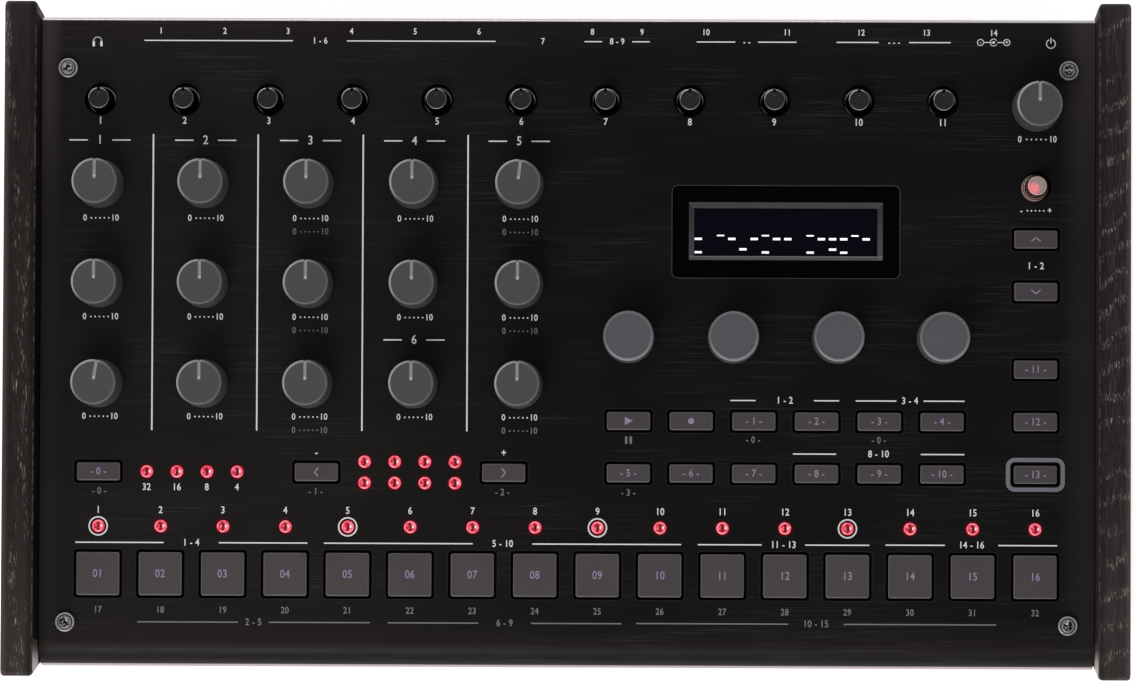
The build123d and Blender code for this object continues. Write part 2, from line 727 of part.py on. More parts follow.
def trim_stem():
    low = board_top_w + trim_body_height - trim_bearing_depth + running_gap
    return rod(trim_stem_d, low, board_top_w + trim_body_height + seam_gap + 1)


def level_trim(u, v):
    low = board_top_w + trim_body_height + seam_gap
    knob = rod(trim_d, low, trim_top_w)
    knob = fillet(knob.edges().group_by(Axis.Z)[-1], trim_edge)
    slot_v = trim_d / 2 - trim_slot_length / 2
    knob -= slab(trim_slot_width, trim_slot_length + 1, trim_top_w - trim_slot_depth, trim_top_w + 1, 0, slot_v + 0.5)
    return on_panel(Pos(u, v, 0) * (knob + rod(trim_collar_d, *trim_collar_w) + trim_stem()))


def tempo_dial():
    low = board_top_w + trim_body_height + seam_gap
    knob = rod(tempo_d, low, trim_top_w)
    knob = fillet(knob.edges().group_by(Axis.Z)[-1], tempo_edge)
    for i in range(tempo_ribs):
        turn = radians(360 * i / tempo_ribs)
        knob += rod(tempo_rib_d, low, trim_top_w - tempo_rib_drop, tempo_d / 2 * cos(turn), tempo_d / 2 * sin(turn))
    knob += rod(tempo_foot_d, low, low + tempo_foot_height)
    return on_panel(Pos(*tempo_place, 0) * (knob + trim_stem()))


def key(u, v, width, height):
    cap = cushion(width, height, key_corner, -sheet - key_skirt + key_top_w, key_top_w)
    cap = chamfer(cap.edges().group_by(Axis.Z)[-1], key_edge)
    lip_top = -sheet - seam_gap
    lip = 2 * (key_gap + lip_width)
    cap += slab(width + lip, height + lip, lip_top - lip_height, lip_top)
    stem_low = board_top_w + switch_height + plunger_height + key_travel + press_gap
    cap += slab(stem_size, stem_size, stem_low, lip_top - lip_height)
    return on_panel(Pos(u, v, 0) * cap)


def power_button():
    z = jack_board_top_z + power_axis_rise
    tip = rear_panel_y + power_proud
    head = rod_back(power_button_d, rear_inner_y, tip, power_x, z)
    head = fillet(head.edges().group_by(Axis.Y)[-1], power_button_edge)
    stem_end = rear_inner_y - power_travel - 2 * seam_gap - power_body_length / 2
    return head + rod_back(power_stem_d, stem_end, rear_inner_y + 1, power_x, z)


# ------------------------------------------------------------------- output
save(top_panel(), "top_panel")
save(bottom_tray(), "bottom_tray")
save(rear_panel(), "rear_panel")
save(cheek(-1), "left_cheek")
save(cheek(1), "right_cheek")
save(group(rubber_foot(x, y) for x, y in foot_places), "rubber_feet")
save(group(panel_screw(u, v) for u, v in screw_places), "panel_screws")
save(case_fasteners(), "case_fasteners")
save(group([upper_board(), lower_board()]), "circuit_boards")
save(mounting_posts(), "mounting_posts")
save(pot_bodies(), "pot_bodies")
save(group(key_switch(u, v) for u, v in key_places + pad_places), "key_switches")
save(group(led(u, v) for u, v in led_places), "indicator_leds")
save(display_bezel(), "display_bezel")
save(display_module(), "display_module")
save(audio_jacks(), "audio_jacks")
save(data_and_power_sockets(), "data_and_power_sockets")
save(group(midi_core(x) for x in midi_x), "socket_cores")
for name, place in dial_places.items():
    save(dial(name, *place), name)
for name, place in encoder_places.items():
    save(encoder(*place), name)
for name, place in trim_places.items():
    save(level_trim(*place), name)
save(tempo_dial(), "tempo_dial")
for first in range(0, pad_count, 4):
    bank = [key(u, v, pad_size, pad_size) for u, v in pad_places[first:first + 4]]
    save(group(bank), f"step_pads_{first + 1}_{first + 4}")
for name, places in key_banks.items():
    save(group(key(u, v, key_width, key_height) for u, v in places), name)
save(power_button(), "power_button")
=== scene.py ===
import json
import math
import bmesh
import bpy
from mathutils import Matrix, Vector


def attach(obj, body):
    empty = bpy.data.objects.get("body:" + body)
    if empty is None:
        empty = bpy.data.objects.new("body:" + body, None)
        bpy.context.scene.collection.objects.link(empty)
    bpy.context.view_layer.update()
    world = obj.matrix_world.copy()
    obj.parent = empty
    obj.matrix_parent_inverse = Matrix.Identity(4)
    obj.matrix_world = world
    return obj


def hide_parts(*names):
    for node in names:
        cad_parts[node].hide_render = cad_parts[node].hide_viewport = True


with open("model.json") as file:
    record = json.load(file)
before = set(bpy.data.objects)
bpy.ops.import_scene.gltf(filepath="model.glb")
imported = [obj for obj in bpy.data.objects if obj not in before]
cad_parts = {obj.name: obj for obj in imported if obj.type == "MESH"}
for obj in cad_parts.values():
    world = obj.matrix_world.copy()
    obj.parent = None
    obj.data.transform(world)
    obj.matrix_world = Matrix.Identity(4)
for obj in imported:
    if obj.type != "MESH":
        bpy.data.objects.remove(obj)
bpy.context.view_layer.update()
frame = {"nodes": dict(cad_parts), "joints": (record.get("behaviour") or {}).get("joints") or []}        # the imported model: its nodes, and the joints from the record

scene = bpy.context.scene
nodes = frame["nodes"]
jointOf = {joint["child"]: joint for joint in frame["joints"]}
mm = 0.001
caseBody = "case"

# places on the sloping panel are (u, v) in mm: to the right and uphill
layout = {
    "volume": (152.95, 77.3), "display": (71.35, 36.4), "screws": (163.5, 89.3, -91.8), "outerU": 152.95,
    "padV": -76.0, "padPitch": 20.393, "stepLampV": -60.45,
    "keyFirstU": 20.2, "keyPitch": 20.46, "upperKeyV": -25.5, "keyV": -42.6,
    "arrowKeys": (-81.7, -20.5), "pageKeyV": (34.2, 17.1), "sideKeyV": (-8.3, -25.4, -42.6),
    "timeLampU": -137.2, "lengthLampU": -66.0, "smallLampPitch": 9.85, "lengthLampRise": 3.45,
}
normal = Vector(jointOf["volume_dial"]["axis"]).normalized()
right = Vector((1.0, 0.0, 0.0))
uphill = normal.cross(right)
toVolume = right * layout["volume"][0] + uphill * layout["volume"][1]
panelMiddle = Vector(jointOf["volume_dial"]["pos_m"]) - toVolume * mm
panelMatrix = Matrix.Translation(panelMiddle) @ Matrix((right, uphill, normal)).transposed().to_4x4()


def placeOfJoint(child):
    # where a turning piece stands on the panel, from its joint
    local = panelMatrix.inverted() @ Vector(jointOf[child]["pos_m"]) / mm
    return panelMatrix @ Matrix.Translation(Vector((local.x, local.y, 0.0)) * mm)


def tint(code):
    # linear colour from the usual six hexadecimal digits
    shares = [int(code[i:i + 2], 16) / 255 for i in (0, 2, 4)]
    return (*[one / 12.92 if one <= 0.04045 else ((one + 0.055) / 1.055) ** 2.4 for one in shares], 1.0)


def shaded(code, factor):
    # a lighter or darker colour of the same hue
    return (*[min(1.0, share * factor) for share in tint(code)[:3]], 1.0)


def pick(sizes, names):
    # several values of a piece's dictionary at once
    return [sizes[name] for name in names.split()]


class Wire:
    # a value on its way through a node tree
    def __init__(self, tree, socket):
        self.tree, self.socket = tree, socket

    def maths(self, operation, *values):
        return self.tree.add("Math", {"operation": operation}, dict(enumerate(values)))

    def __add__(self, other):
        return self.maths("ADD", self, other)

    def __sub__(self, other):
        return self.maths("SUBTRACT", self, other)

    def __rsub__(self, other):
        return self.maths("SUBTRACT", other, self)

    def __mul__(self, other):
        return self.maths("MULTIPLY", self, other)

    def __truediv__(self, other):
        return self.maths("DIVIDE", self, other)

    def __pow__(self, other):
        return self.maths("POWER", self, other)

    def __abs__(self):
        return self.maths("ABSOLUTE", self)

    __radd__, __rmul__ = __add__, __mul__

    def sine(self):
        return self.maths("SINE", self)

    def smooth(self, low, high):
        # 0 below low, 1 above high, and a soft step between; works downwards too
        return self.tree.add("MapRange", {"interpolation_type": "SMOOTHSTEP"},
                             {"Value": self, "From Min": low, "From Max": high})


class Tree:
    # a node tree being filled; a colour is given as six digits or as a linear colour
    def __init__(self, tree):
        self.nodes, self.links = tree.nodes, tree.links
        self.nodes.clear()

    def add(self, kind, settings={}, values={}, out=0):
        made = self.nodes.new("ShaderNode" + kind)
        for key, value in settings.items():
            if key == "stops":
                while len(made.color_ramp.elements) < len(value):
                    made.color_ramp.elements.new(0.5)
                for element, (position, code) in zip(made.color_ramp.elements, value):
                    element.position, element.color = position, tint(code)
            else:
                setattr(made, key, value)
        for key, value in values.items():
            socket = made.inputs[key] if isinstance(key, int) else next(
                one for one in made.inputs if key in (one.identifier, one.name) and not one.is_unavailable)
            if isinstance(value, Wire):
                self.links.new(value.socket, socket)
            else:
                socket.default_value = tint(value) if isinstance(value, str) else value
        return Wire(self, made.outputs[out]) if len(made.outputs) else None

    def mix(self, factor, first, second):
        return self.add("Mix", {"data_type": "RGBA"}, {0: factor, 6: first, 7: second}, 2)

    def coats(self, base, *coats):
        # colours laid over one another, each as (factor, colour)
        for factor, colour in coats:
            base = self.mix(factor, base, colour)
        return base

    def grain(self, scale, detail=3.0, rough=0.5, warp=0.0):
        # noise over object coordinates in metres, each times its own scale, or all times one
        scale = scale if isinstance(scale, tuple) else (scale,) * 3
        place = self.add("TexCoord", out="Object")
        where = self.add("VectorMath", {"operation": "MULTIPLY"}, {0: place, 1: scale})
        return self.add("TexNoise", {}, {"Vector": where, "Scale": 1.0, "Detail": detail,
                                         "Roughness": rough, "Distortion": warp})

    def partsOf(self, where, count):
        return [self.add("SeparateXYZ", {}, {0: where}, axis) for axis in range(count)]

    def world(self, count=3):
        # (x, y, z) of the object coordinates
        return self.partsOf(self.add("TexCoord", out="Object"), count)

    def local(self):
        # (x, y) in mm from a piece's own axis, as its mesh carries them
        return self.partsOf(self.add("UVMap", {"uv_map": "local"}), 2)

    def bump(self, height, strength, distance):
        return self.add("Bump", {}, {"Height": height, "Strength": strength, "Distance": distance})


def finishOf(name, build, specular=0.5, **fixed):
    # a Principled material: build(tree) gives the sockets that vary, the others are the same all over
    material = bpy.data.materials.new(name)
    material.use_nodes = True
    tree = Tree(material.node_tree)
    plain = {key.replace("_", " "): value for key, value in fixed.items()}
    shader = tree.add("BsdfPrincipled", {}, {"Specular IOR Level": specular, **plain, **build(tree)})
    tree.add("OutputMaterial", {}, {"Surface": shader})
    return material


def mottled(code, spread, rough, grainSize=400.0, depth=0.00002):
    # an even moulded or coated surface: faint cloudiness, a fine texture, and roughness that wanders with it
    def build(tree):
        cloud = tree.grain(60.0, 2.0)
        fine = tree.grain(grainSize * 10, 2.0)
        tone = tree.mix(cloud * 0.6 + fine * 0.4, shaded(code, 1 - spread), shaded(code, 1 + spread))
        return {"Base Color": tone, "Roughness": rough - 0.04 + cloud * 0.08,
                "Normal": tree.bump(fine, 0.25, depth)}
    return build


def speckled(first, second, size, rough):
    # two near tones in a fine even pattern
    def build(tree):
        speck = tree.grain(size, 2.0)
        return {"Base Color": tree.mix(speck, first, second), "Roughness": rough + speck * 0.1}
    return build


def glowing(first, second, size):
    return lambda tree: {"Emission Color": tree.mix(tree.grain(size), first, second)}


def inked(code):
    # screen-printed ink: almost even, with a trace of the mesh it went through
    return speckled(shaded(code, 0.88), code, 2500.0, 0.55)


panelSlope = {"y": -0.10453, "z": 0.99452, "level": 0.04175}


def abovePanel(y, z):
    # height over the panel's face in metres
    return y * panelSlope["y"] + z * panelSlope["z"] - panelSlope["level"]


# painted light and shade on the panel: lighter to the left and towards the rear and the front, painted shade
# along the front fold, painted reflections beside the cheeks, and painted highlights on both bends; an edge
# holds its tones at the front and at the rear, and the x where it starts and is full
lacquer = {"left": "1f1c1b", "right": "151313", "rear": "231f1e", "front": "2a2323", "foldShade": "140e0e",
           "leftEdge": ("2d2928", "46413f", -0.1645, -0.1712),
           "rightEdge": ("272424", "3a3634", 0.159, 0.170),
           "streak": "3a3534", "bright": "b6aeb1", "bend": "b2a2a4", "rough": 0.38, "specular": 0.12}


def brushedLacquer(tree):
    # thin lengthwise scratches under black lacquer, fading in and out; both long bends carry painted
    # highlights
    lines = tree.grain((34.0, 2600.0, 2600.0), 3.0, 0.6).smooth(0.52, 0.72)
    patches = tree.grain((16.0, 60.0, 60.0), 2.0).smooth(0.40, 0.62)
    x, y, z = tree.world()
    toRight = x.smooth(-0.11, 0.03)
    above = abovePanel(y, z)
    # painted highlights: a bright band on the rear bend and a pale band on the front bend
    rearBendHighlight = y.smooth(0.1046, 0.1049) * above.smooth(-0.0024, -0.0021)
    frontBendHighlight = y.smooth(-0.100, -0.103) * above.smooth(-0.0041, -0.0045) * above.smooth(-0.0092, -0.0088)
    atRear = y.smooth(0.03, 0.105)
    sides = [(x.smooth(start, full), tree.mix(atRear, low, high))
             for low, high, start, full in pick(lacquer, "leftEdge rightEdge")]
    colour = tree.coats(tree.mix(toRight, lacquer["left"], lacquer["right"]),
                        (y.smooth(0.090, 0.105) * (1.0 - toRight * 0.6), lacquer["rear"]),
                        (y.smooth(-0.086, -0.104) * (1.0 - toRight * 0.35), lacquer["front"]), *sides,
                        (y.smooth(-0.0985, -0.1012) * 0.9, lacquer["foldShade"]),
                        (lines * patches * 0.6, lacquer["streak"]),
                        (frontBendHighlight, lacquer["bend"]), (rearBendHighlight, lacquer["bright"]))
    return {"Base Color": colour, "Roughness": lacquer["rough"] + patches * 0.06 - rearBendHighlight * 0.1,
            "Metallic": rearBendHighlight * 0.6 + frontBendHighlight * 0.5, "Normal": tree.bump(lines, 0.12, 0.00001)}


# wood tones; the inner tone is painted shade along the inner edge, the corner tone a painted highlight on the
# inner top edge
stainedWood = {"left": ("1f1a18", "2d2725"), "right": ("211b1c", "322a2b"), "front": "3a3331",
               "pore": "97918c", "line": "544d4c", "outer": "5a4e4b", "corner": "4d4744", "inner": "1a1614",
               "rough": 0.55, "rowPitch": 0.0092}


def openGrainWood(tree):
    # black-stained open-pored wood: fine lengthwise lines and short pale pores, along two wandering lines on
    # the left cheek and in slanting rows across the right one
    x, y = tree.world(2)
    onRight = x.smooth(-0.01, 0.01)
    bands = tree.grain((420.0, 9.0, 160.0), 3.0, 0.55, 0.6)
    fibres = tree.grain((3400.0, 26.0, 1700.0), 2.0).smooth(0.45, 0.75)
    drift = tree.grain((0.0, 14.0, 14.0), 2.0) - 0.5
    fading = tree.grain((0.0, 45.0, 45.0), 2.0).smooth(0.36, 0.60)
    firstLine = abs(x + 0.1780 + drift * 0.024).smooth(0.0019, 0.0003) * fading
    secondLine = abs(x + 0.1752 - drift * 0.028).smooth(0.0015, 0.0003) * (1.0 - fading) * 0.8
    scattered = tree.grain((260.0, 20.0, 140.0), 2.0, 0.5, 0.6).smooth(0.60, 0.74) * 0.4
    slant = tree.grain((70.0, 22.0, 60.0), 2.0)
    wave = (y - x * 0.30 + slant * 0.016) * (math.tau / stainedWood["rowPitch"])
    rows = wave.sine().smooth(0.30, 0.95) * tree.grain((40.0, 50.0, 50.0), 1.0).smooth(0.30, 0.48)
    longPores = tree.grain((5600.0, 150.0, 2300.0), 2.0, 0.6, 0.1).smooth(0.59, 0.67)
    shortPores = tree.grain((5400.0, 330.0, 2400.0), 2.0, 0.6, 0.3).smooth(0.57, 0.65)
    left = longPores * ((firstLine + secondLine) * 1.4 + scattered * 1.3)
    right = shortPores * (rows * 1.1 + scattered * 0.8)
    tone = bands * 0.6 + fibres * 0.4
    atEnds = y.smooth(-0.045, -0.105) * 0.75 + y.smooth(0.085, 0.108) * 0.3
    # along the inner edge: painted shade darkening the wood, and a thin painted highlight on the top edge,
    # broken up by noise
    out = abs(x)
    corner = out.smooth(0.17262, 0.17272) * out.smooth(0.17315, 0.1729)
    arrisHighlightBreaks = tree.grain((60.0, 420.0, 60.0), 2.0).smooth(0.42, 0.6)
    base = tree.mix(onRight, tree.mix(tone, *stainedWood["left"]), tree.mix(tone, *stainedWood["right"]))
    base = tree.coats(base, (atEnds, stainedWood["front"]),
                      (fibres * (onRight * 0.35 + 0.12), stainedWood["line"]),
                      (out.smooth(0.1806, 0.1830) * (0.45 + bands * 0.5), stainedWood["outer"]),
                      (left * (1.0 - onRight) + right * onRight, stainedWood["pore"]),
                      (out.smooth(0.1756, 0.1738) * (0.7 - onRight * 0.15), stainedWood["inner"]),
                      (corner * arrisHighlightBreaks, stainedWood["corner"]))
    return {"Base Color": base, "Roughness": stainedWood["rough"] + fibres * 0.12,
            "Normal": tree.bump(fibres * 0.4 - longPores, 0.3, 0.00004)}


# tones of the inner sides: painted shade beside the panel, painted light on the wood past its bends
cheekWall = {"leftShade": ("0e0b0b", "1d1918"), "rightShade": "302b2b", "cloud": "262221",
             "frontLitWood": ("463f3b", "dccfcd"), "rearLitWood": ("71625e", "564b48"),
             "frontEnd": -0.0972, "rearEnd": 0.1052, "blur": 0.0003}


def paintedWall(tree):
    # the cheeks' inner sides: near black beside the panel as painted shade, and lit wood past its two bends
    # as painted light, palest low at the front
    x, y, z = tree.world()
    grain = tree.grain((200.0, 60.0, 900.0), 3.0)
    left = tree.mix(y.smooth(-0.03, 0.04), *cheekWall["leftShade"])
    frontEnd, rearEnd, blur = pick(cheekWall, "frontEnd rearEnd blur")
    front = y.smooth(frontEnd + blur, frontEnd - blur) * abovePanel(y, z).smooth(-0.0018, -0.0006)
    floorLitShare = y.smooth(-0.0985, -0.1065) * (0.75 + grain * 0.25)
    base = tree.coats(left, (x.smooth(-0.01, 0.01), cheekWall["rightShade"]),
                      (grain * 0.4, cheekWall["cloud"]),
                      (front, tree.mix(floorLitShare, *cheekWall["frontLitWood"])),
                      (y.smooth(rearEnd - blur, rearEnd + blur), tree.mix(grain, *cheekWall["rearLitWood"])))
    return {"Base Color": base, "Roughness": 0.8 - grain * 0.1}


def turnedMetal(code, rough):
    # bright metal with fine turning marks
    def build(tree):
        rings = tree.grain((300.0, 4200.0, 300.0), 2.0)
        return {"Base Color": tree.mix(tree.grain(90.0, 2.0), shaded(code, 0.85), code),
                "Roughness": rough + rings * 0.12, "Normal": tree.bump(rings, 0.15, 0.00001)}
    return build


def fromAxis(x, y):
    return (x * x + y * y) ** 0.5


lampGlow = {"ring": "ff8898", "ringDim": "ea4a64", "body": "c01a34", "mottle": "ff7286", "dark": "38030a",
            "bright": "ffdde2", "edge": "8e1226"}


def litLamp(tree):
    # a clear lens over a red chip: a broken bright rim, a mottled middle, a dark crescent and a bright spot
    x, y = tree.local()
    radius = fromAxis(x, y)
    facets = tree.grain(1100.0, 2.0, 0.7, 0.5)
    broken = tree.grain(620.0, 1.0).smooth(0.36, 0.6)
    crescent = abs(x - 0.22 + y * y * 0.3).smooth(0.62, 0.25) * radius.smooth(1.55, 1.25)
    spot = ((x - 1.0) * (x - 1.0) * 2.6 + (y - 0.1) * (y - 0.1)).smooth(0.55, 0.05)
    rim = radius.smooth(1.38, 1.6) * radius.smooth(2.05, 1.9)
    colour = tree.coats(lampGlow["body"], (facets.smooth(0.44, 0.58), lampGlow["mottle"]),
                        (crescent * (0.25 + facets.smooth(0.35, 0.6)), lampGlow["dark"]),
                        (rim, tree.mix(broken, lampGlow["ringDim"], lampGlow["ring"])),
                        (spot, lampGlow["bright"]), (radius.smooth(1.95, 2.08), lampGlow["edge"]))
    return {"Emission Color": colour, "Base Color": tree.mix(rim, "300508", "401014")}


clearKnob = {"top": "a4938e", "pink": "ff8c98", "rim": "d8b3b3", "side": "1a1110", "line": "d6b8b0",
             "core": "ffe9e9"}


def litClearKnob(tree):
    # clear plastic lit red from below: grey-pink face, pink glow low on the left, a bright point in the
    # middle, a painted highlight round the rim of the face; steps and the foot show as thin painted
    # highlights, brightest towards the upper left, partly as emission
    x, y = tree.local()
    radius = fromAxis(x, y)
    glow = ((x + 1.2) * (x + 1.2) * 0.22 + (y + 0.9) * (y + 0.9) * 0.2).smooth(1.3, 0.0)
    face = tree.coats(clearKnob["top"], (glow, clearKnob["pink"]),
                      (abs(radius - 1.5).smooth(0.4, 0.0) * 0.3, clearKnob["rim"]),
                      (radius.smooth(0.42, 0.0), clearKnob["core"]),
                      (radius.smooth(2.65, 2.9) * radius.smooth(3.15, 2.95), clearKnob["rim"]))
    lines = abs(radius - 3.68).smooth(0.13, 0.06) + abs(radius - 4.22).smooth(0.13, 0.06)
    bright = (x * -0.8 - y * 0.5).smooth(-2.5, 3.0)
    sides = tree.mix(lines * (0.25 + bright * 0.75), clearKnob["side"], clearKnob["line"])
    outside = radius.smooth(3.0, 3.12)
    lit, litSides = tree.mix(glow, "2c1c1c", "c84a58"), tree.mix(lines * bright, "200708", "f0c4b8")
    return {"Base Color": tree.mix(outside, face, sides), "Emission Color": tree.mix(outside, lit, litSides)}


# rings of painted highlight and painted shade across the head
screwHead = {"stops": [(0.0, "6a6769"), (0.48, "8d8a8b"), (0.52, "2b292a"), (0.56, "8f8b8c"),
                       (0.64, "a8a4a5"), (0.69, "3a3839"), (0.80, "1c1a1b"), (0.85, "c4bfc0"),
                       (0.95, "c8c3c4"), (1.0, "4a4748")],
             "worn": "5a5758", "fleck": "f0ecec", "pit": "0c0b0c", "radius": 3.12}


def screwFace(tree):
    # blackened head with painted light: a bright outer ring and a lighter inner ring as painted highlights, a
    # dark groove as painted shade, and painted glints and dark specks in the recess
    x, y = tree.local()
    radius = fromAxis(x, y)
    wear = tree.grain(900.0, 2.0)
    glints = tree.grain(1300.0, 1.0, 0.5, 0.4)
    rings = tree.add("ValToRGB", {"stops": screwHead["stops"]}, {0: radius / screwHead["radius"]})
    middle = radius.smooth(1.75, 1.6)
    tone = tree.coats(rings, (wear.smooth(0.5, 0.7) * 0.4, screwHead["worn"]),
                      (middle * glints.smooth(0.53, 0.48), screwHead["pit"]),
                      (middle * glints.smooth(0.54, 0.60), screwHead["fleck"]))
    return {"Base Color": tone, "Roughness": 0.32 + wear * 0.15, "Metallic": 0.25 + wear * 0.1}


def screenGlass(tree):
    cloud = tree.grain(25.0, 2.0)
    return {"Base Color": tree.mix(cloud, "030308", "05050c"), "Roughness": 0.1 + cloud * 0.05,
            "Emission Color": tree.mix(cloud, "030308", "04050d")}


def bevelTone(tree):
    # moulded slope round the window, with painted light: darker above and lighter below, a painted highlight
    # along the foot of the lower side and fainter ones along the mitres
    x, y = tree.local()
    mitres = abs(abs(x) * 1.118 - abs(y) - 25.7).smooth(0.3, 0.1)
    return {"Base Color": tree.coats("262529", (y.smooth(6.0, -6.0), "434247"),
                                     (abs(y + 8.0).smooth(0.35, 0.1), "737178"), (mitres * 0.4, "77757b"),
                                     (tree.grain(150.0, 2.0) * 0.2, "4b4a4e"))}


def wornRing(tree):
    # painted highlights on the collar edge of a trimmer: along its upper half and a short stretch low on the
    # left
    x, y = tree.local()
    arcs = y.smooth(-1.2, 3.6) + (x * -0.78 - y * 0.62).smooth(3.9, 4.3) * 0.6
    return {"Base Color": tree.mix(arcs, "050505", tree.mix(tree.grain(500.0, 1.0), "d0ccc8", "fffbf6"))}


def trimmerRim(tree):
    # thin edge of a shaft end with a painted highlight: brightest at the upper left, broken at the sides
    x, y = tree.local()
    wear = tree.grain(420.0, 1.0).smooth(0.38, 0.62)
    bright = (y * 0.9 - x * 0.44).smooth(0.6, 3.2) + (y * -0.95).smooth(2.4, 3.3) * 0.25
    tone = tree.mix(bright, tree.mix(wear, "625f5d", "96938f"), tree.mix(wear, "d0cdc9", "fdfbf7"))
    return {"Base Color": tone, "Roughness": 0.35 + wear * 0.05}


def trimmerTop(tree):
    # dark shaft end with a tiny mark where its line ends
    x, y = tree.local()
    cloud = tree.grain(60.0, 2.0)
    mark = abs(x).smooth(0.42, 0.3) * abs(y - 1.45).smooth(0.2, 0.1)
    return {"Base Color": tree.mix(mark * 0.7, tree.mix(cloud, "242323", "2a2929"), "625f5d"),
            "Roughness": 0.3 + cloud * 0.08}


def pointerInlay(tree):
    # light groove, with painted highlights along both sides and at its round inner end, and painted shade
    # where it leaves the rim
    x, y = tree.local()
    cloud = tree.grain(60.0, 2.0)
    sides = abs(x).smooth(0.2, 0.45)
    end = (x * x + (y - 1.35) * (y - 1.35)).smooth(0.5, 0.15)
    tone = tree.coats("98969b", (cloud * 0.3, "aaa8ad"), (sides * 0.4 + end * 0.8, "d0ced3"),
                      (y.smooth(6.9, 7.2), "2a292b"))
    return {"Base Color": tone, "Roughness": 0.4 + cloud * 0.05}


def capRim(low, high, towards):
    # rounded rim of a cap, catching more light on one side
    def build(tree):
        x, y = tree.local()
        wear = tree.grain(260.0, 1.0)
        lit = (x * towards[0] + y * towards[1]).smooth(-1.0, 7.5)
        return {"Base Color": tree.mix(lit * (0.5 + wear * 0.5), low, high), "Roughness": 0.4 + wear * 0.05}
    return build


finishes = {
    "panel": finishOf("panel lacquer", brushedLacquer, lacquer["specular"]),
    "powder": finishOf("powder coat", mottled("181717", 0.15, 0.6, 90.0, 0.00006), 0.3),
    "wood": finishOf("stained wood", openGrainWood, 0.14),
    "cheekWall": finishOf("cheek wall shade and light", paintedWall, 0.04),
    "rubber": finishOf("rubber", mottled("161616", 0.2, 0.8, 120.0), 0.25),
    "dial": finishOf("dial plastic", mottled("4e4b4f", 0.05, 0.42)),
    "dialRim": finishOf("dial rim", capRim("615e63", "b4b2b6", (-0.86, 0.5))),
    "encoder": finishOf("encoder plastic", mottled("5b585d", 0.05, 0.4)),
    "encoderRim": finishOf("encoder rim", capRim("6c696e", "96939a", (0.1, -0.99))),
    "pointer": finishOf("pointer inlay", pointerInlay),
    "key": finishOf("key plastic", mottled("4b4446", 0.07, 0.42)),
    "keyEdgeHighlight": finishOf("key edge highlight", mottled("5f595b", 0.12, 0.4)),
    "keyGlint": finishOf("key lower edge", mottled("8c8688", 0.2, 0.4, 40.0)),
    "trim": finishOf("trimmer plastic", trimmerTop),
    "trimRim": finishOf("trimmer rim", trimmerRim),
    "collarRim": finishOf("collar rim", wornRing, 0.4, Roughness=0.4),
    "screw": finishOf("blackened steel", screwFace),
    "steel": finishOf("nickel", turnedMetal("b9b8b6", 0.28), Metallic=1.0),
    "socket": finishOf("socket plastic", mottled("141414", 0.15, 0.35)),
    "board": finishOf("circuit board", speckled("123f22", "1d5230", 900.0, 0.35), 0.4),
    "component": finishOf("component plastic", mottled("1d1d1f", 0.15, 0.45), 0.4),
    "gloss": finishOf("display frame", mottled("020202", 0.1, 0.25), 0.1),
    "bevel": finishOf("display bevel", bevelTone, 0.4, Roughness=0.45),
    "screen": finishOf("screen glass", screenGlass, 0.15, Emission_Strength=1.0),
    "lamp": finishOf("lamp lens", litLamp, Roughness=0.15, Emission_Strength=1.0),
    "lampHalo": finishOf("lamp hole", glowing("30060c", "480911", 400.0), 0.05, Base_Color="0c0203",
                         Emission_Strength=1.0, Roughness=0.7),
    "tempo": finishOf("clear knob", litClearKnob, Roughness=0.2, Emission_Strength=0.35, Coat_Weight=0.4),
    "white": finishOf("white print", inked("f2f2f2")),
    "grey": finishOf("grey print", inked("7d7d80")),
    "lilac": finishOf("lilac print", inked("9690ae")),
    "frameInk": finishOf("key frame print", inked("777681")),
    "dash": finishOf("screen dash", glowing("e9ecf2", "ffffff", 500.0), Emission_Strength=1.0, Roughness=0.6),
    "cutEdgeHighlight": finishOf("cut edge highlight", mottled("2b2827", 0.3, 0.4, 30.0)),
    "frameEdgeHighlight": finishOf("display cut edge highlight", mottled("4a4645", 0.6, 0.4, 20.0)),
    # near black: painted shade on the keys' sides below the panel, in the cut-outs and in the trimmers'
    # slots, and the trimmers' own black collars and shafts
    "well": finishOf("dark well", mottled("030303", 0.2, 0.8), 0.05),
}
print("finishes made:", len(finishes))


# outlines and meshes, in mm
def polar(radius, angle, *height):
    return (radius * math.cos(angle), radius * math.sin(angle), *height)


def circle(radius, height, count=48):
    return [polar(radius, math.tau * i / count, height) for i in range(count)]


def hexagon(flats, height, count=48):
    loop = []
    for i in range(count):
        angle = math.tau * i / count
        inSector = (angle + math.pi / 6) % (math.pi / 3) - math.pi / 6
        loop.append(polar(flats / 2 / math.cos(inSector), angle, height))
    return loop


def roundedBox(width, length, corner, height, steps=6):
    loop = []
    for turn, (signX, signY) in enumerate(((1, 1), (-1, 1), (-1, -1), (1, -1))):
        for i in range(steps + 1):
            x, y = polar(corner, math.pi / 2 * (turn + i / steps))
            loop.append((signX * (width / 2 - corner) + x, signY * (length / 2 - corner) + y, height))
    return loop


def arc(radius, height, edge, steps=5):
    # (radius, height) points of a rounded outer edge, from the side up to the top
    turns = [polar(edge, math.pi / 2 * i / steps) for i in range(steps + 1)]
    return [(radius - edge + out, height - edge + rise) for out, rise in turns]


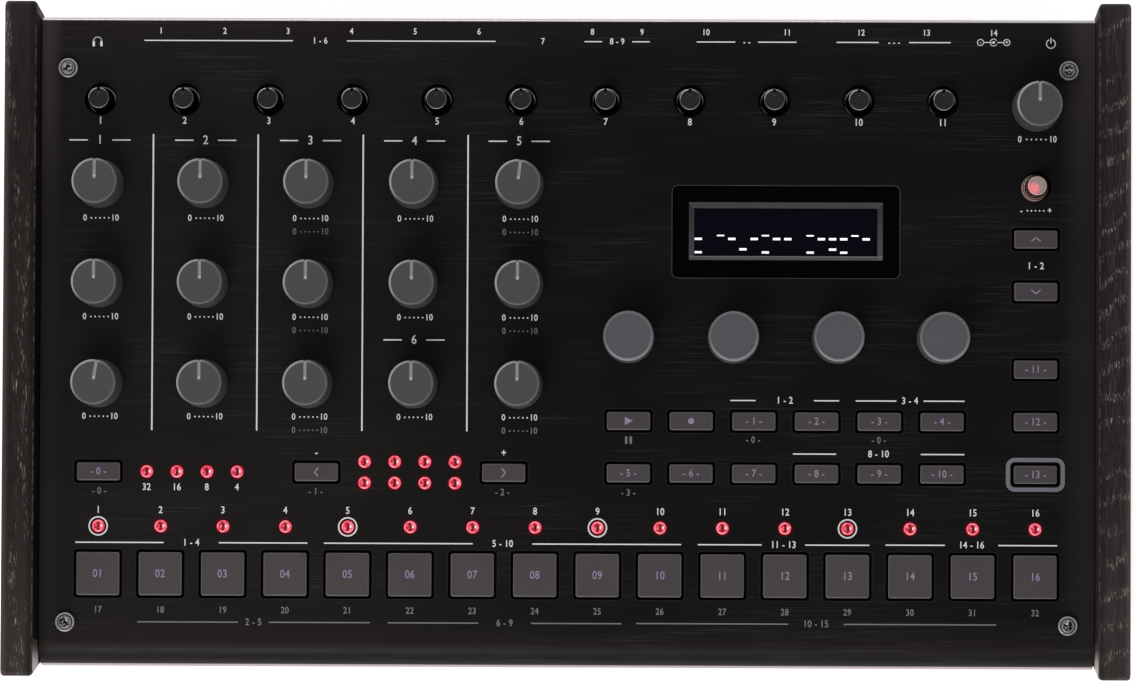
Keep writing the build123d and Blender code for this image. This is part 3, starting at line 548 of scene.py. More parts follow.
class Shape:
    # a mesh put together from lofts, plates and letters; each point also keeps its place from its own axis
    def __init__(self):
        self.points, self.local, self.faces, self.finish = [], [], [], []
        self.origin = (0.0, 0.0, 0.0)

    def at(self, u, v):
        self.origin = (u, v, 0.0)
        return self

    def put(self, points, faces, finish=0):
        # finish is one number, or one for each face
        start = len(self.points)
        self.local += [tuple(point[:2]) for point in points]
        self.points += [tuple(a + b for a, b in zip(point, self.origin)) for point in points]
        self.faces += [tuple(start + i for i in face) for face in faces]
        self.finish += finish if isinstance(finish, list) else [finish] * len(faces)
        return self

    def loft(self, loops, finish=0, closed=False):
        # skin over loops of as many points each; closed joins the last loop to the first, as a ring
        count = len(loops[0])
        points = [point for loop in loops for point in loop]
        faces = []
        for level in range(len(loops) - (0 if closed else 1)):
            low, high = level * count, (level + 1) % len(loops) * count
            turns = [(i, (i + 1) % count) for i in range(count)]
            faces += [(low + i, low + after, high + after, high + i) for i, after in turns]
        if isinstance(finish, list):
            # one number for each ring of faces; the two lids follow the first and the last
            lids = [] if closed else [finish[0], finish[-1]]
            finish = [one for one in finish for _ in range(count)] + lids
        if not closed:
            faces += [tuple(reversed(range(count))), tuple(range(len(points) - count, len(points)))]
        return self.put(points, faces, finish)

    def lathe(self, profile, finish=0, count=48):
        return self.loft([circle(radius, height, count) for radius, height in profile], finish)

    def outline(self, loop, low, high, finish=0):
        return self.loft([[(*point, height) for point in loop] for height in (low, high)], finish)

    def plate(self, width, length, low, high, finish=0):
        x, y = width / 2, length / 2
        return self.outline([(x, y), (-x, y), (-x, -y), (x, -y)], low, high, finish)

    def strip(self, start, end, width, low, high):
        # straight bar between two points
        start, end = Vector(start), Vector(end)
        side = Vector((start.y - end.y, end.x - start.x)).normalized() * width / 2
        return self.outline([start - side, end - side, end + side, start + side], low, high)

    def mesh(self, name, materials, sharp=35.0):
        made = bpy.data.meshes.new(name)
        made.from_pydata([Vector(point) * mm for point in self.points], [], self.faces)
        for key in materials:
            made.materials.append(finishes[key])
        made.polygons.foreach_set("material_index", self.finish)
        made.polygons.foreach_set("use_smooth", [True] * len(self.faces))
        layer = made.uv_layers.new(name="local")
        for loop in made.loops:
            layer.data[loop.index].uv = self.local[loop.vertex_index]
        turned = bmesh.new()
        turned.from_mesh(made)
        bmesh.ops.recalc_face_normals(turned, faces=turned.faces)
        turned.to_mesh(made)
        turned.free()
        made.set_sharp_from_angle(angle=math.radians(sharp))
        return made


def linked(name, data):
    made = bpy.data.objects.new(name, data)
    scene.collection.objects.link(made)
    return made


def piece(name, mesh, replaced=(), body=caseBody, matrix=panelMatrix):
    made = linked(name, mesh)
    made.matrix_world = matrix
    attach(made, body)
    if replaced:
        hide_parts(*replaced)


def carved(mesh, cutter, name):
    # mesh with the cutter mesh taken out of it
    target, tool = linked(name, mesh), linked(name + "_cutter", cutter)
    cut = target.modifiers.new("cut", "BOOLEAN")
    cut.object, cut.operation, cut.solver = tool, "DIFFERENCE", "EXACT"
    bpy.context.view_layer.update()
    result = bpy.data.meshes.new_from_object(target.evaluated_get(bpy.context.evaluated_depsgraph_get()))
    for used in (tool, target):
        bpy.data.objects.remove(used)
    result.name = name
    result.set_sharp_from_angle(angle=math.radians(35.0))
    return result


lettering = {"capHeight": 0.73, "squeeze": 0.86, "spacing": 1.06, "swell": 0.035, "steps": 4}


class Print(Shape):
    # flat ink: letters, lines, rings and small signs
    def __init__(self, thick=0.03, low=0.0):
        super().__init__()
        self.low, self.high = low, low + thick

    def text(self, words, u, v, height):
        # numerals and signs of the built-in face, centred on (u, v)
        curve = bpy.data.curves.new("words", "FONT")
        curve.body = words
        curve.size = height / lettering["capHeight"]
        curve.align_x = curve.align_y = "CENTER"
        curve.space_character = lettering["spacing"]
        curve.extrude = (self.high - self.low) / 2
        curve.offset = lettering["swell"]
        curve.resolution_u = lettering["steps"]
        holder = bpy.data.objects.new("words", curve)
        flat = bpy.data.meshes.new_from_object(holder)
        rise, squeeze = (self.low + self.high) / 2, lettering["squeeze"]
        points = [(corner.co.x * squeeze, corner.co.y, corner.co.z + rise) for corner in flat.vertices]
        self.at(u, v).put(points, [tuple(face.vertices) for face in flat.polygons])
        bpy.data.objects.remove(holder)
        bpy.data.curves.remove(curve)
        bpy.data.meshes.remove(flat)
        return self

    def line(self, startU, startV, endU, endV, width):
        return self.at(0, 0).strip((startU, startV), (endU, endV), width, self.low, self.high)

    def band(self, left, gapLeft, gapRight, end, v, width):
        # a line broken by a gap for what is printed in it
        return self.line(left, v, gapLeft, v, width).line(gapRight, v, end, v, width)

    def ring(self, u, v, outer, inner):
        # flat ring between two outlines
        loops = [[(x, y, height) for x, y, _ in outline] for outline, height in
                 ((outer, self.low), (outer, self.high), (inner, self.high), (inner, self.low))]
        return self.at(u, v).loft(loops, 0, True)

    def hoop(self, u, v, radius, width):
        return self.ring(u, v, circle(radius + width / 2, 0, 40), circle(radius - width / 2, 0, 40))

    def frameLine(self, u, v, width, length, corner, stroke):
        inner = roundedBox(width - 2 * stroke, length - 2 * stroke, max(corner - stroke, 0.05), 0)
        return self.ring(u, v, roundedBox(width, length, corner, 0), inner)

    def spot(self, u, v, radius, count=24):
        return self.at(u, v).loft([circle(radius, height, count) for height in (self.low, self.high)])

    def path(self, u, v, points, width):
        # open stroke through points, with round joints
        for start, end in zip(points, points[1:]):
            self.at(u, v).strip(start, end, width, self.low, self.high)
        for point in points:
            self.spot(u + point[0], v + point[1], width / 2, 12)
        return self

    def block(self, u, v, width, length):
        return self.at(u, v).plate(width, length, self.low, self.high)


def dress(node, main, other=None, picks=None):
    # gives a frame node its finish; picks(centre in mm) says which faces get the other one
    mesh = nodes[node].data
    mesh.materials.clear()
    for key in (main, other) if other else (main,):
        mesh.materials.append(finishes[key])
    mesh.polygons.foreach_set("material_index",
                              [int(picks(face.center / mm)) if picks else 0 for face in mesh.polygons])


def shellFace(centre):
    # metal shells of the two flat sockets, and the inlet's pin
    return 88.0 < centre.x < 124.5 or (abs(centre.x - 138.7) < 1.3 and abs(centre.z - 19.5) < 1.3)


# nodes of the frame that keep their own shape
keptNodes = {"panel": ["top_panel"], "powder": ["bottom_tray", "rear_panel"], "rubber": ["rubber_feet"],
             "steel": ["case_fasteners", "mounting_posts"], "board": ["circuit_boards"],
             "component": ["pot_bodies", "key_switches"], "screen": ["display_module"],
             "socket": ["audio_jacks", "socket_cores", "power_button"]}
for finish, dressed in keptNodes.items():
    for node in dressed:
        dress(node, finish)
dress("data_and_power_sockets", "socket", "steel", shellFace)
print("frame nodes dressed")

# cheeks: their ends are rounded more than their long edges
cheek = {"inner": 172.5, "thick": 10.5, "front": -109.8, "rear": 109.4, "bottom": 3.5,
         "proudFront": 10.6, "proudRear": 8.9, "frontLean": 17.0, "rearLean": 3.5,
         "corner": 1.6, "edge": 0.45, "innerEnd": 1.6, "outerEnd": 1.0,
         "depths": (0.0, 0.05, 0.12, 0.22, 0.35, 0.5, 0.7, 0.95, 1.25, 1.6)}


def roundedPolygon(corners, radius, steps=5):
    loop = []
    for before, here, after in zip(corners[-1:] + corners[:-1], corners, corners[1:] + corners[:1]):
        ways = (before - here).normalized(), (after - here).normalized()
        half = ways[0].angle(ways[1]) / 2
        middle = here + (ways[0] + ways[1]).normalized() * (radius / math.sin(half))
        start, end = (here + way * (radius / math.tan(half)) - middle for way in ways)
        loop += [middle + start.lerp(end, i / steps).normalized() * radius for i in range(steps + 1)]
    return loop


def cheekLoop(x, fromEnd, fromEdge):
    # outline of a cheek at x, drawn in from its two ends and from its long edges
    front, rear, bottom = pick(cheek, "front rear bottom")
    slope = uphill.z / uphill.y
    frontTop, rearTop = (panelMiddle.z / mm + (end - panelMiddle.y / mm) * slope + proud
                         for end, proud in ((front, cheek["proudFront"]), (rear, cheek["proudRear"])))
    lowFront = front + (frontTop - bottom) * math.tan(math.radians(cheek["frontLean"]))
    lowRear = rear - (rearTop - bottom) * math.tan(math.radians(cheek["rearLean"]))
    corners = [(front + fromEnd, frontTop - fromEdge), (rear - fromEnd, rearTop - fromEdge),
               (lowRear - fromEnd, bottom + fromEdge), (lowFront + fromEnd, bottom + fromEdge)]
    return [(x, *point) for point in roundedPolygon([Vector(corner) for corner in corners], cheek["corner"])]


def drawnIn(depth, radius):
    # how far a rounding has pulled in at a depth under the face
    return 0.0 if depth >= radius else radius - math.sqrt(radius * radius - (radius - depth) ** 2)


for side, name in ((-1, "left_cheek"), (1, "right_cheek")):
    inner, depths = cheek["inner"], cheek["depths"]
    steps = [(inner + depth, depth, "innerEnd") for depth in depths]
    steps += [(inner + cheek["thick"] - depth, depth, "outerEnd") for depth in reversed(depths[:-1])]
    loops = [cheekLoop(side * out, drawnIn(depth, cheek[end]), drawnIn(depth, cheek["edge"]))
             for out, depth, end in steps]
    board = Shape().loft(loops, [1] + [0] * (len(loops) - 2))
    piece(name + "_board", board.mesh(name, ["wood", "cheekWall"]), [name], matrix=Matrix())
print("cheeks made")

# turning pieces
dial = {"base": 7.95, "top": 7.35, "low": 1.0, "high": 14.0, "edge": 0.5, "rim": 0.2, "dish": 0.06,
        "groove": 1.02, "grooveFloor": 13.5, "grooveStart": 1.25,
        "turned": {"dial_a3": -9.0, "dial_e1": -7.0}}
encoder = {"base": 8.4, "top": 8.15, "low": 1.0, "high": 14.0, "edge": 0.6, "rim": 0.22, "dish": 0.25}
capStem = (3.0, -9.25)


def cap(size):
    # a turned cap on its shaft: slanting side, bright rounded rim and a shallow dish
    base, low, high, edge, rim, dish = pick(size, "base low high edge rim dish")
    profile = [capStem, (capStem[0], low), (base - 0.25, low), (base, low + 0.25)]
    rimStart = len(profile)
    profile += arc(size["top"], high, edge)
    dishEdge = size["top"] - edge - rim
    profile += [(dishEdge + rim * 0.5, high), (dishEdge, high - 0.01)]
    rimEnd = len(profile)
    profile += [(dishEdge - dish - step, high - dish) for step in (0.0, 0.15)]
    finish = [2 if rimStart + 1 <= ring < rimEnd - 1 else 0 for ring in range(len(profile) - 1)]
    return Shape().lathe(profile, finish, 72)


def grooveCutter(size):
    # tapering slot with a round inner end, out through the rim
    def slot(width, height):
        half, start, end = width / 2, size["grooveStart"], size["base"] + 1
        turns = [polar(half, math.pi + math.pi * i / 10) for i in range(11)]
        return [(half, end, height), (-half, end, height)] + [(x, start + y, height) for x, y in turns]
    width, high = size["groove"], size["high"]
    sections = [(width - 0.25, size["grooveFloor"]), (width, high), (width + 0.1, high + 1)]
    return Shape().loft([slot(*section) for section in sections], 1)


dialFinishes = ["dial", "pointer", "dialRim"]
dialMesh = carved(cap(dial).mesh("dial", dialFinishes),
                  grooveCutter(dial).mesh("grooveCutter", dialFinishes), "dial")
encoderMesh = cap(encoder).mesh("encoder", ["encoder", "pointer", "encoderRim"])
for name in [node for node in nodes if node.startswith("dial_") or node == "volume_dial"]:
    turn = Matrix.Rotation(math.radians(dial["turned"].get(name, 0.0)), 4, "Z")
    piece(name + "_cap", dialMesh, [name], name, placeOfJoint(name) @ turn)
for name in [node for node in nodes if node.startswith("encoder_")]:
    piece(name + "_cap", encoderMesh, [name], name, placeOfJoint(name))

# the face as (drawn in, sunk)
trimmer = {"radius": 3.35, "high": 5.0, "low": -5.7, "edge": 0.3, "collar": 4.5, "collarTop": -4.2,
           "collarLow": -5.4, "stem": 1.5, "stemLow": -10.05, "slot": (1.0, 0.9, 0.35),
           "face": ((0.06, 0.01), (0.2, 0.08), (0.35, 0.08))}


def trimmerMesh():
    # dark shaft end with a thin rim carrying a painted highlight and a notch, in a black collar whose edge
    # carries painted highlights
    radius, high, low, edge, stem, stemLow = pick(trimmer, "radius high low edge stem stemLow")
    collar, collarTop, collarLow = pick(trimmer, "collar collarTop collarLow")
    profile = [(stem, stemLow), (stem, low), (radius, low), (radius, collarLow),
               (collar - 0.1, collarLow), (collar, collarLow + 0.1)]
    collarEdge = len(profile)
    profile += [(collar, collarTop - 0.15), (collar - 0.42, collarTop), (radius, collarTop)]
    rimStart = len(profile)
    profile += arc(radius, high, edge)
    profile += [(radius - edge - inset, high - sunk) for inset, sunk in trimmer["face"]]
    finish = [1 if ring < rimStart else 2 if ring < rimStart + 4 else 0 for ring in range(len(profile) - 1)]
    finish[collarEdge] = 3
    finishNames = ["trim", "well", "trimRim", "collarRim"]
    width, length, depth = trimmer["slot"]
    cutter = Shape().at(0, radius - length / 2 + 0.5).plate(width, length + 1, high - depth, high + 1, 1)
    return carved(Shape().lathe(profile, finish, 60).mesh("trimmer", finishNames),
                  cutter.mesh("slotCutter", finishNames), "trimmer")


shaftEnd = trimmerMesh()
for name in [node for node in nodes if node.startswith("level_trim_")]:
    piece(name + "_shaft", shaftEnd, [name], name, placeOfJoint(name))

tempo = {"radius": 3.2, "rib": 0.24, "ribs": 18, "ribTop": 4.0, "high": 5.0, "low": -5.7, "edge": 0.5,
         "foot": 4.3, "footTop": -2.7, "stem": 1.5, "stemLow": -10.05, "dish": (2.3, 2.1), "dishDepth": 0.15}


def ribbed(radius, height, depth, count=144):
    loop = []
    for i in range(count):
        angle = math.tau * i / count
        loop.append(polar(radius + depth * max(0.0, math.cos(angle * tempo["ribs"])), angle, height))
    return loop


def tempoKnob():
    # foot, ribbed sides, rounded top and a shallow dish
    foot, footTop, stem, low = pick(tempo, "foot footTop stem low")
    radius, high, edge, rib, ribTop = pick(tempo, "radius high edge rib ribTop")
    lower = [(stem, tempo["stemLow"]), (stem, low), (foot, low), (foot, footTop - 0.2), (foot - 0.2, footTop)]
    upper = arc(radius, high, edge) + [(radius - edge - 0.1, high)]
    upper += [(inner, high - tempo["dishDepth"]) for inner in tempo["dish"]]
    ribs = [ribbed(radius, footTop, rib), ribbed(radius, ribTop - 0.3, rib), ribbed(radius, ribTop, 0.0)]
    lower, upper = ([circle(*ring, 144) for ring in rings] for rings in (lower, upper))
    return Shape().loft(lower + ribs + upper)


piece("tempo_knob", tempoKnob().mesh("tempo_knob", ["tempo"]), ["tempo_dial"], "tempo_dial",
      placeOfJoint("tempo_dial"))
print("turning pieces made")

# keys and pads
keySize = {"width": 14.1, "length": 5.9, "padLength": 14.1, "corner": 0.7, "edge": 0.38, "steps": 4,
           "top": 0.47, "shoulder": -0.25, "low": -4.2, "lip": 1.2, "lipTop": -1.8, "lipLow": -2.8,
           "stem": 3.6, "stemLow": -5.3}
rowU = [layout["keyFirstU"] + i * layout["keyPitch"] for i in range(6)]
keyBanks = {
    "transport_keys": [(u, layout["upperKeyV"]) for u in rowU],
    "mode_keys": [(u, layout["keyV"]) for u in rowU],
    "page_keys": [(layout["outerU"], v) for v in layout["pageKeyV"]],
    "side_keys": [(layout["outerU"], v) for v in layout["sideKeyV"]],
    "time_and_length_keys": [(u, layout["keyV"]) for u in (-layout["outerU"], *layout["arrowKeys"])],
}
padPlaces = [(-layout["outerU"] + i * layout["padPitch"], layout["padV"]) for i in range(16)]
padBanks = {f"step_pads_{first + 1}_{first + 4}": padPlaces[first:first + 4] for first in range(0, 16, 4)}


def addKey(shape, u, v, width, length):
    # black below the panel's face as painted shade, a painted highlight round the top edge, brightest along
    # its near side
    corner, edge, low, lip, steps = pick(keySize, "corner edge low lip steps")
    loops = [roundedBox(width - 0.2, length - 0.2, corner, low), roundedBox(width, length, corner, low + 0.1),
             roundedBox(width, length, corner, keySize["shoulder"])]
    for i in range(steps + 1):
        angle = math.pi / 2 * i / steps
        inset = edge * (1 - math.cos(angle))
        loops.append(roundedBox(width - 2 * inset, length - 2 * inset, max(corner - inset, 0.2),
                                keySize["top"] - edge + edge * math.sin(angle)))
    inset = edge + 0.08
    loops.append(roundedBox(width - 2 * inset, length - 2 * inset, 0.2, keySize["top"]))
    start = len(shape.faces)
    shape.at(u, v).loft(loops, [1, 1, 1] + [2] * steps + [0])
    for face in range(start, len(shape.faces)):
        middle = sum(shape.local[i][1] for i in shape.faces[face]) / len(shape.faces[face])
        if shape.finish[face] == 2 and middle < 0.04 - length / 2:
            shape.finish[face] = 3
    heights = keySize["lipLow"], keySize["lipTop"]
    shape.loft([roundedBox(width + 2 * lip, length + 2 * lip, 0.3, height) for height in heights], 1)
    shape.plate(keySize["stem"], keySize["stem"], keySize["stemLow"], keySize["lipLow"], 1)


keyPlaces = []
for banks, length in ((keyBanks, keySize["length"]), (padBanks, keySize["padLength"])):
    for bank, places in banks.items():
        shape = Shape()
        for place in places:
            keyPlaces.append((*place, keySize["width"], length))
            addKey(shape, *keyPlaces[-1])
        caps = shape.mesh(bank, ["key", "well", "keyEdgeHighlight", "keyGlint"])
        piece(bank + "_caps", caps, [bank], bank)
print("keys and pads made")

# lamps: the lens as (drawn in, below the top)
lamp = {"radius": 2.1, "top": 0.3, "seat": -4.6, "spacer": 4.6, "boardTop": -11.0,
        "lens": ((0.0, 0.6), (0.08, 0.4), (0.3, 0.22), (0.7, 0.1), (1.2, 0.03), (1.6, 0.0))}
lampPlaces = [(u, layout["stepLampV"]) for u, v in padPlaces]
keyV, pitch, rise = pick(layout, "keyV smallLampPitch lengthLampRise")
timeLampUs = [layout["timeLampU"] + i * pitch for i in range(4)]
lampPlaces += [(u, keyV) for u in timeLampUs]
lampPlaces += [(layout["lengthLampU"] + i * pitch, keyV + side * rise) for i in range(4) for side in (1, -1)]
lampShape = Shape()
radius, top, seat, spacer = pick(lamp, "radius top seat spacer")
lens = [(radius, seat)] + [(radius - inset, top - sunk) for inset, sunk in lamp["lens"]]
for u, v in lampPlaces:
    lampShape.at(u, v).lathe(lens, 0, 40).plate(spacer, spacer, lamp["boardTop"], seat, 1)
piece("lamp_lenses", lampShape.mesh("lamp_lenses", ["lamp", "component"]), ["indicator_leds"])

# panel screws: the head as (drawn in, height)
screw = {"head": 3.25, "high": 2.0, "socket": 3.0, "socketDepth": 1.1, "shank": 1.45, "shankLow": -8.0,
         "rings": ((0.0, 0.0), (0.0, 1.25), (0.1, 1.45), (0.4, 1.55), (0.55, 1.42), (0.8, 1.42), (1.0, 1.75),
                   (1.2, 1.94), (1.4, 2.0), (1.45, 2.0))}
loops = [circle(screw["shank"], height) for height in (screw["shankLow"], 0.0)]
loops += [circle(screw["head"] - inset, height) for inset, height in screw["rings"]]
loops += [hexagon(screw["socket"] - narrower, screw["high"] - depth)
          for narrower, depth in ((0.0, 0.0), (0.12, 0.1), (0.12, screw["socketDepth"]))]
screwShape = Shape()
side, rearV, frontV = layout["screws"]
for u, v in ((-side, rearV), (side, rearV), (-side, frontV), (side, frontV)):
    screwShape.at(u, v).loft(loops)
piece("panel_screw_heads", screwShape.mesh("panel_screw_heads", ["screw"], 30.0),
      ["panel_screws"])

# display; its dashes as height on the panel: (thickness, columns)
display = {"size": (73.3, 29.4), "corner": 1.7, "top": -0.2, "sheet": -1.5, "low": -3.9, "lip": 1.6,
           "window": (59.9, 15.6), "bevel": (1.7, 1.9), "rise": 0.25, "edge": 0.18,
           "dashFirst": 42.75, "dashPitch": 3.667, "dashWidth": 2.35,
           "dashes": {35.45: (0.42, (3, 7, 11, 15)), 34.35: (0.72, (1, 4, 6, 8, 9, 12, 13, 14, 16)),
                      30.95: (0.7, (5, 13)), 29.95: (0.7, (1, 7, 11, 14))}}
wide, tall = display["size"]


def displayFrame():
    # closed ring from the window's foot, out under the sheet, up, in over the face and down the bevel
    lip, edge, corner = pick(display, "lip edge corner")
    top, low, sheet = pick(display, "top low sheet")
    windowWide, windowTall = display["window"]
    mouthWide = windowWide + 2 * display["bevel"][0]
    mouthTall = windowTall + 2 * display["bevel"][1] - 2 * display["rise"]
    outside = [(2 * lip, corner, low), (2 * lip, corner, sheet), (0.0, corner, sheet)]
    outside += [(-more * edge, corner - more * edge / 2, height) for more, height in
                ((0, top - edge), (2, top), (4, top))]
    mouth = [roundedBox(mouthWide + 0.1, mouthTall + 0.1, 0.1, top),
             roundedBox(mouthWide, mouthTall, 0.05, top)]
    loops = [roundedBox(windowWide, windowTall, 0.05, low)]
    loops += [roundedBox(wide + more, tall + more, rounding, height) for more, rounding, height in outside]
    # the lower side of the bevel is narrower than the upper one
    loops += [[(x, y + display["rise"], z) for x, y, z in loop] for loop in mouth]
    loops.append(roundedBox(windowWide, windowTall, 0.05, sheet))
    # the slanting ring inside the face gets the bevel's finish
    finish = [int(ring == len(loops) - 2) for ring in range(len(loops))]
    return Shape().at(*layout["display"]).loft(loops, finish, True)


piece("display_frame", displayFrame().mesh("display_frame", ["gloss", "bevel"], 20.0),
      ["display_bezel"])
dashShape = Shape()
for v, (height, columns) in display["dashes"].items():
    for column in columns:
        dashShape.at(display["dashFirst"] + (column - 1) * display["dashPitch"], v)
        dashShape.plate(display["dashWidth"], height, display["low"] + 0.002, display["low"] + 0.03)
piece("screen_dashes", dashShape.mesh("screen_dashes", ["dash"]))
print("lamps, screws and display made")

# print on the panel
rules = {"dividerU": (-135.6, -101.3, -66.9, -32.6), "dividerV": (67.8, -29.1), "stroke": 0.48}
white, grey = Print(), Print()
for u in rules["dividerU"]:
    white.line(u, rules["dividerV"][0], u, rules["dividerV"][1], rules["stroke"])

rear = {"v": 98.5, "numberV": 101.6, "height": 2.05, "stroke": 0.36,
        "bands": [(-138.7, -90.1, -72.4, -23.8), (5.3, 11.1, 20.9, 26.6), (42.0, 54.6, 62.1, 74.6),
                  (87.7, 101.5, 111.4, 125.0)],
        "groups": {"1 - 6": -81.2, "8 - 9": 16.0, "- -": 58.4, "- - -": 106.5},
        "numbers": {1: -133.3, 2: -112.4, 3: -91.7, 4: -70.9, 5: -50.1, 6: -29.2, 8: 7.9, 9: 24.1, 10: 45.0,
                    11: 71.6, 12: 95.7, 13: 117.1, 14: 139.0}}
for band in rear["bands"]:
    white.band(*band, rear["v"], rear["stroke"])
for v, words in ((rear["v"], rear["groups"]), (rear["numberV"], rear["numbers"]), (rear["v"], {7: -8.3})):
    for word, u in words.items():
        white.text(str(word), u, v, rear["height"])


def arcPath(radius, start, end, steps=16):
    return [polar(radius, math.radians(start + (end - start) * i / steps)) for i in range(steps + 1)]


# headphones, inlet polarity and standby signs
signs = {"headphones": (-154.1, 98.2), "inlet": (139.0, 98.6), "standby": (157.7, 98.2), "poles": 4.3}
u, v = signs["headphones"]
white.path(u, v, arcPath(1.35, 0, 180), 0.3)
for side in (-1, 1):
    white.block(u + side * 1.25, v - 0.85, 0.75, 1.7)
u, v = signs["inlet"]
white.spot(u, v, 0.42).path(u, v, arcPath(1.15, 35, 325), 0.28)
white.line(u + 1.2, v, u + 3.4, v, 0.28).line(u - 3.4, v, u - 0.4, v, 0.28)
for side, sign in ((-1, "-"), (1, "+")):
    pole = u + side * signs["poles"]
    white.hoop(pole, v, 1.0, 0.24).text(sign, pole, v, 1.3)
u, v = signs["standby"]
white.path(u, v, arcPath(1.45, 120, 420), 0.32).line(u, v + 0.2, u, v + 2.0, 0.32)

headings = {"places": [(-153.1, 65.8), (-118.5, 65.8), (-84.2, 65.8), (-50.1, 65.8), (-15.9, 65.8),
                       (-50.0, 0.7)], "height": 3.0, "dash": (4.0, 10.0)}
for i, (u, v) in enumerate(headings["places"]):
    white.text(str(i + 1), u, v, headings["height"])
    for side in (-1, 1):
        white.line(u + side * headings["dash"][0], v, u + side * headings["dash"][1], v, 0.4)

# scales under the dials; two columns have a second one
scales = {"rows": (40.3, 8.0, -24.6), "columns": (-152.95, -118.65, -84.35, -50.05, -15.75), "height": 2.1,
          "doubled": (2, 4), "secondDrop": 4.35, "volume": (153.0, 66.9), "tempo": (152.8, 43.6)}


def scaleMarks(ink, u, v, low="0", high="10", reach=4.9, dots=5):
    # two end marks with dots between
    ink.text(low, u - reach, v, scales["height"]).text(high, u + reach, v, scales["height"])
    for i in range(dots):
        ink.spot(u - reach * 0.58 + reach * 1.16 * i / (dots - 1), v, 0.26)


for row in scales["rows"]:
    for column, u in enumerate(scales["columns"]):
        scaleMarks(white, u, row)
        if column in scales["doubled"]:
            scaleMarks(grey, u, row - scales["secondDrop"])
scaleMarks(white, *scales["volume"], reach=5.4)
scaleMarks(white, *scales["tempo"], "-", "+", 4.6)
white.text("1 - 2", 152.9, 25.5, 2.3)

numbering = {"trimmers": (-152.95, 27.545, 72.2), "padsV": -55.2, "secondV": -87.8, "timesV": -47.7}
for i in range(11):
    first, pitch, v = numbering["trimmers"]
    white.text(str(i + 1), first + pitch * i, v, 2.35)
for i, (u, v) in enumerate(padPlaces):
    white.text(str(i + 1), u, numbering["padsV"], 2.35)
    grey.text(str(i + 17), u, numbering["secondV"], 2.2)
for u, words in zip(timeLampUs, ("32", "16", "8", "4")):
    white.text(words, u, numbering["timesV"], 2.3)
for u, sign in zip(layout["arrowKeys"], ("-", "+")):
    white.text(sign, u, -36.2, 2.6)

underKeys = {-49.0: {-152.7: 0, -81.9: 1, -20.9: 2, 20.2: 3}, -31.6: {60.9: 0, 101.9: 0}}
for v, numbers in underKeys.items():
    for u, number in numbers.items():
        grey.text(f"- {number} -", u, v, 2.2)
for side in (-0.75, 0.75):
    grey.block(20.2 + side, -31.8, 0.75, 2.4)        # pause sign

# lines over groups of pads and keys: left, the gap's two ends, right, v, words
overPads = [(-160.4, -131.5, -113.5, -84.5, -65.8, "1 - 4"), (-79.1, -30.5, -11.0, 37.5, -65.8, "5 - 10"),
            (43.0, 63.8, 78.0, 98.9, -65.8, "11 - 13"), (104.2, 123.5, 140.9, 160.1, -65.7, "14 - 16")]
overKeys = [(53.4, 61.6, 80.7, 88.9, -18.7, "1 - 2"), (94.3, 107.6, 116.4, 129.8, -18.7, "3 - 4"),
            (73.9, 88.0, 115.6, 129.8, -36.1, "8 - 10")]
underPads = [(-140.0, -107.1, -96.9, -64.0, -91.7, "2 - 5"), (-58.1, -28.6, -11.4, 18.2, -91.7, "6 - 9"),
             (22.9, 72.5, 90.6, 140.3, -91.6, "10 - 15")]
for ink, groups in ((white, overPads + overKeys), (grey, underPads)):
    for left, gapLeft, gapRight, end, v, words in groups:
        ink.band(left, gapLeft, gapRight, end, v, 0.4).text(words, (gapLeft + gapRight) / 2, v, 2.3)
for u, v in padPlaces[::4]:
    white.hoop(u, layout["stepLampV"], 2.95, 0.46)
shiftFrame = {"width": 19.2, "length": 11.05, "corner": 2.9, "stroke": 1.35}
frameInk = Print().frameLine(layout["outerU"], layout["sideKeyV"][2], *shiftFrame.values())

# fine painted highlights along the edges of the cut-outs, black shades inside them, and the red light in the
# lamps' holes;
# keys are larger by, corner, stroke; frames wider by, longer by, rounder by, stroke; the halo radius, stroke
cuts = {"key": (2.2, 1.4, 0.12), "keyShade": (1.96, 1.3, 0.26), "frame": (1.3, 1.1, 0.4, 0.18),
        "frameShade": (0.94, 0.74, 0.2, 0.3), "halo": (2.46, 0.42)}
edgeHighlights, shades, halos, frameEdgeHighlight = Print(0.02), Print(0.015), Print(0.012), Print(0.02)
for u, v, width, length in keyPlaces:
    for ink, (more, corner, stroke) in ((edgeHighlights, cuts["key"]), (shades, cuts["keyShade"])):
        ink.frameLine(u, v, width + more, length + more, corner, stroke)
for ink, (wider, longer, rounder, stroke) in ((frameEdgeHighlight, cuts["frame"]), (shades, cuts["frameShade"])):
    ink.frameLine(*layout["display"], wide + wider, tall + longer, display["corner"] + rounder, stroke)
for u, v in lampPlaces:
    halos.hoop(u, v, *cuts["halo"])
prints = {"white_print": (white, "white"), "grey_print": (grey, "grey"),
          "key_frame_print": (frameInk, "frameInk"), "cut_edges": (edgeHighlights, "cutEdgeHighlight"),
          "cut_shades": (shades, "well"), "lamp_holes": (halos, "lampHalo"),
          "display_cut_edge": (frameEdgeHighlight, "frameEdgeHighlight")}
for name, (ink, finish) in prints.items():
    piece(name, ink.mesh(name, [finish]))

# legends on the keys and pads
legends = {"height": 2.5, "padHeight": 2.7, "low": 0.472, "thick": 0.026, "stroke": 0.42,
           "play": [(-1.2, 1.3), (-1.2, -1.3), (1.5, 0.0)],
           "numbers": {"transport_keys": (None, None, 1, 2, 3, 4), "mode_keys": (5, 6, 7, 8, 9, 10),
                       "page_keys": (), "side_keys": (11, 12, 13), "time_and_length_keys": (0,)}}


def addLegends(bank, marks):
    piece(bank + "_legends", marks.mesh(bank + "_legends", ["lilac"]), body=bank)


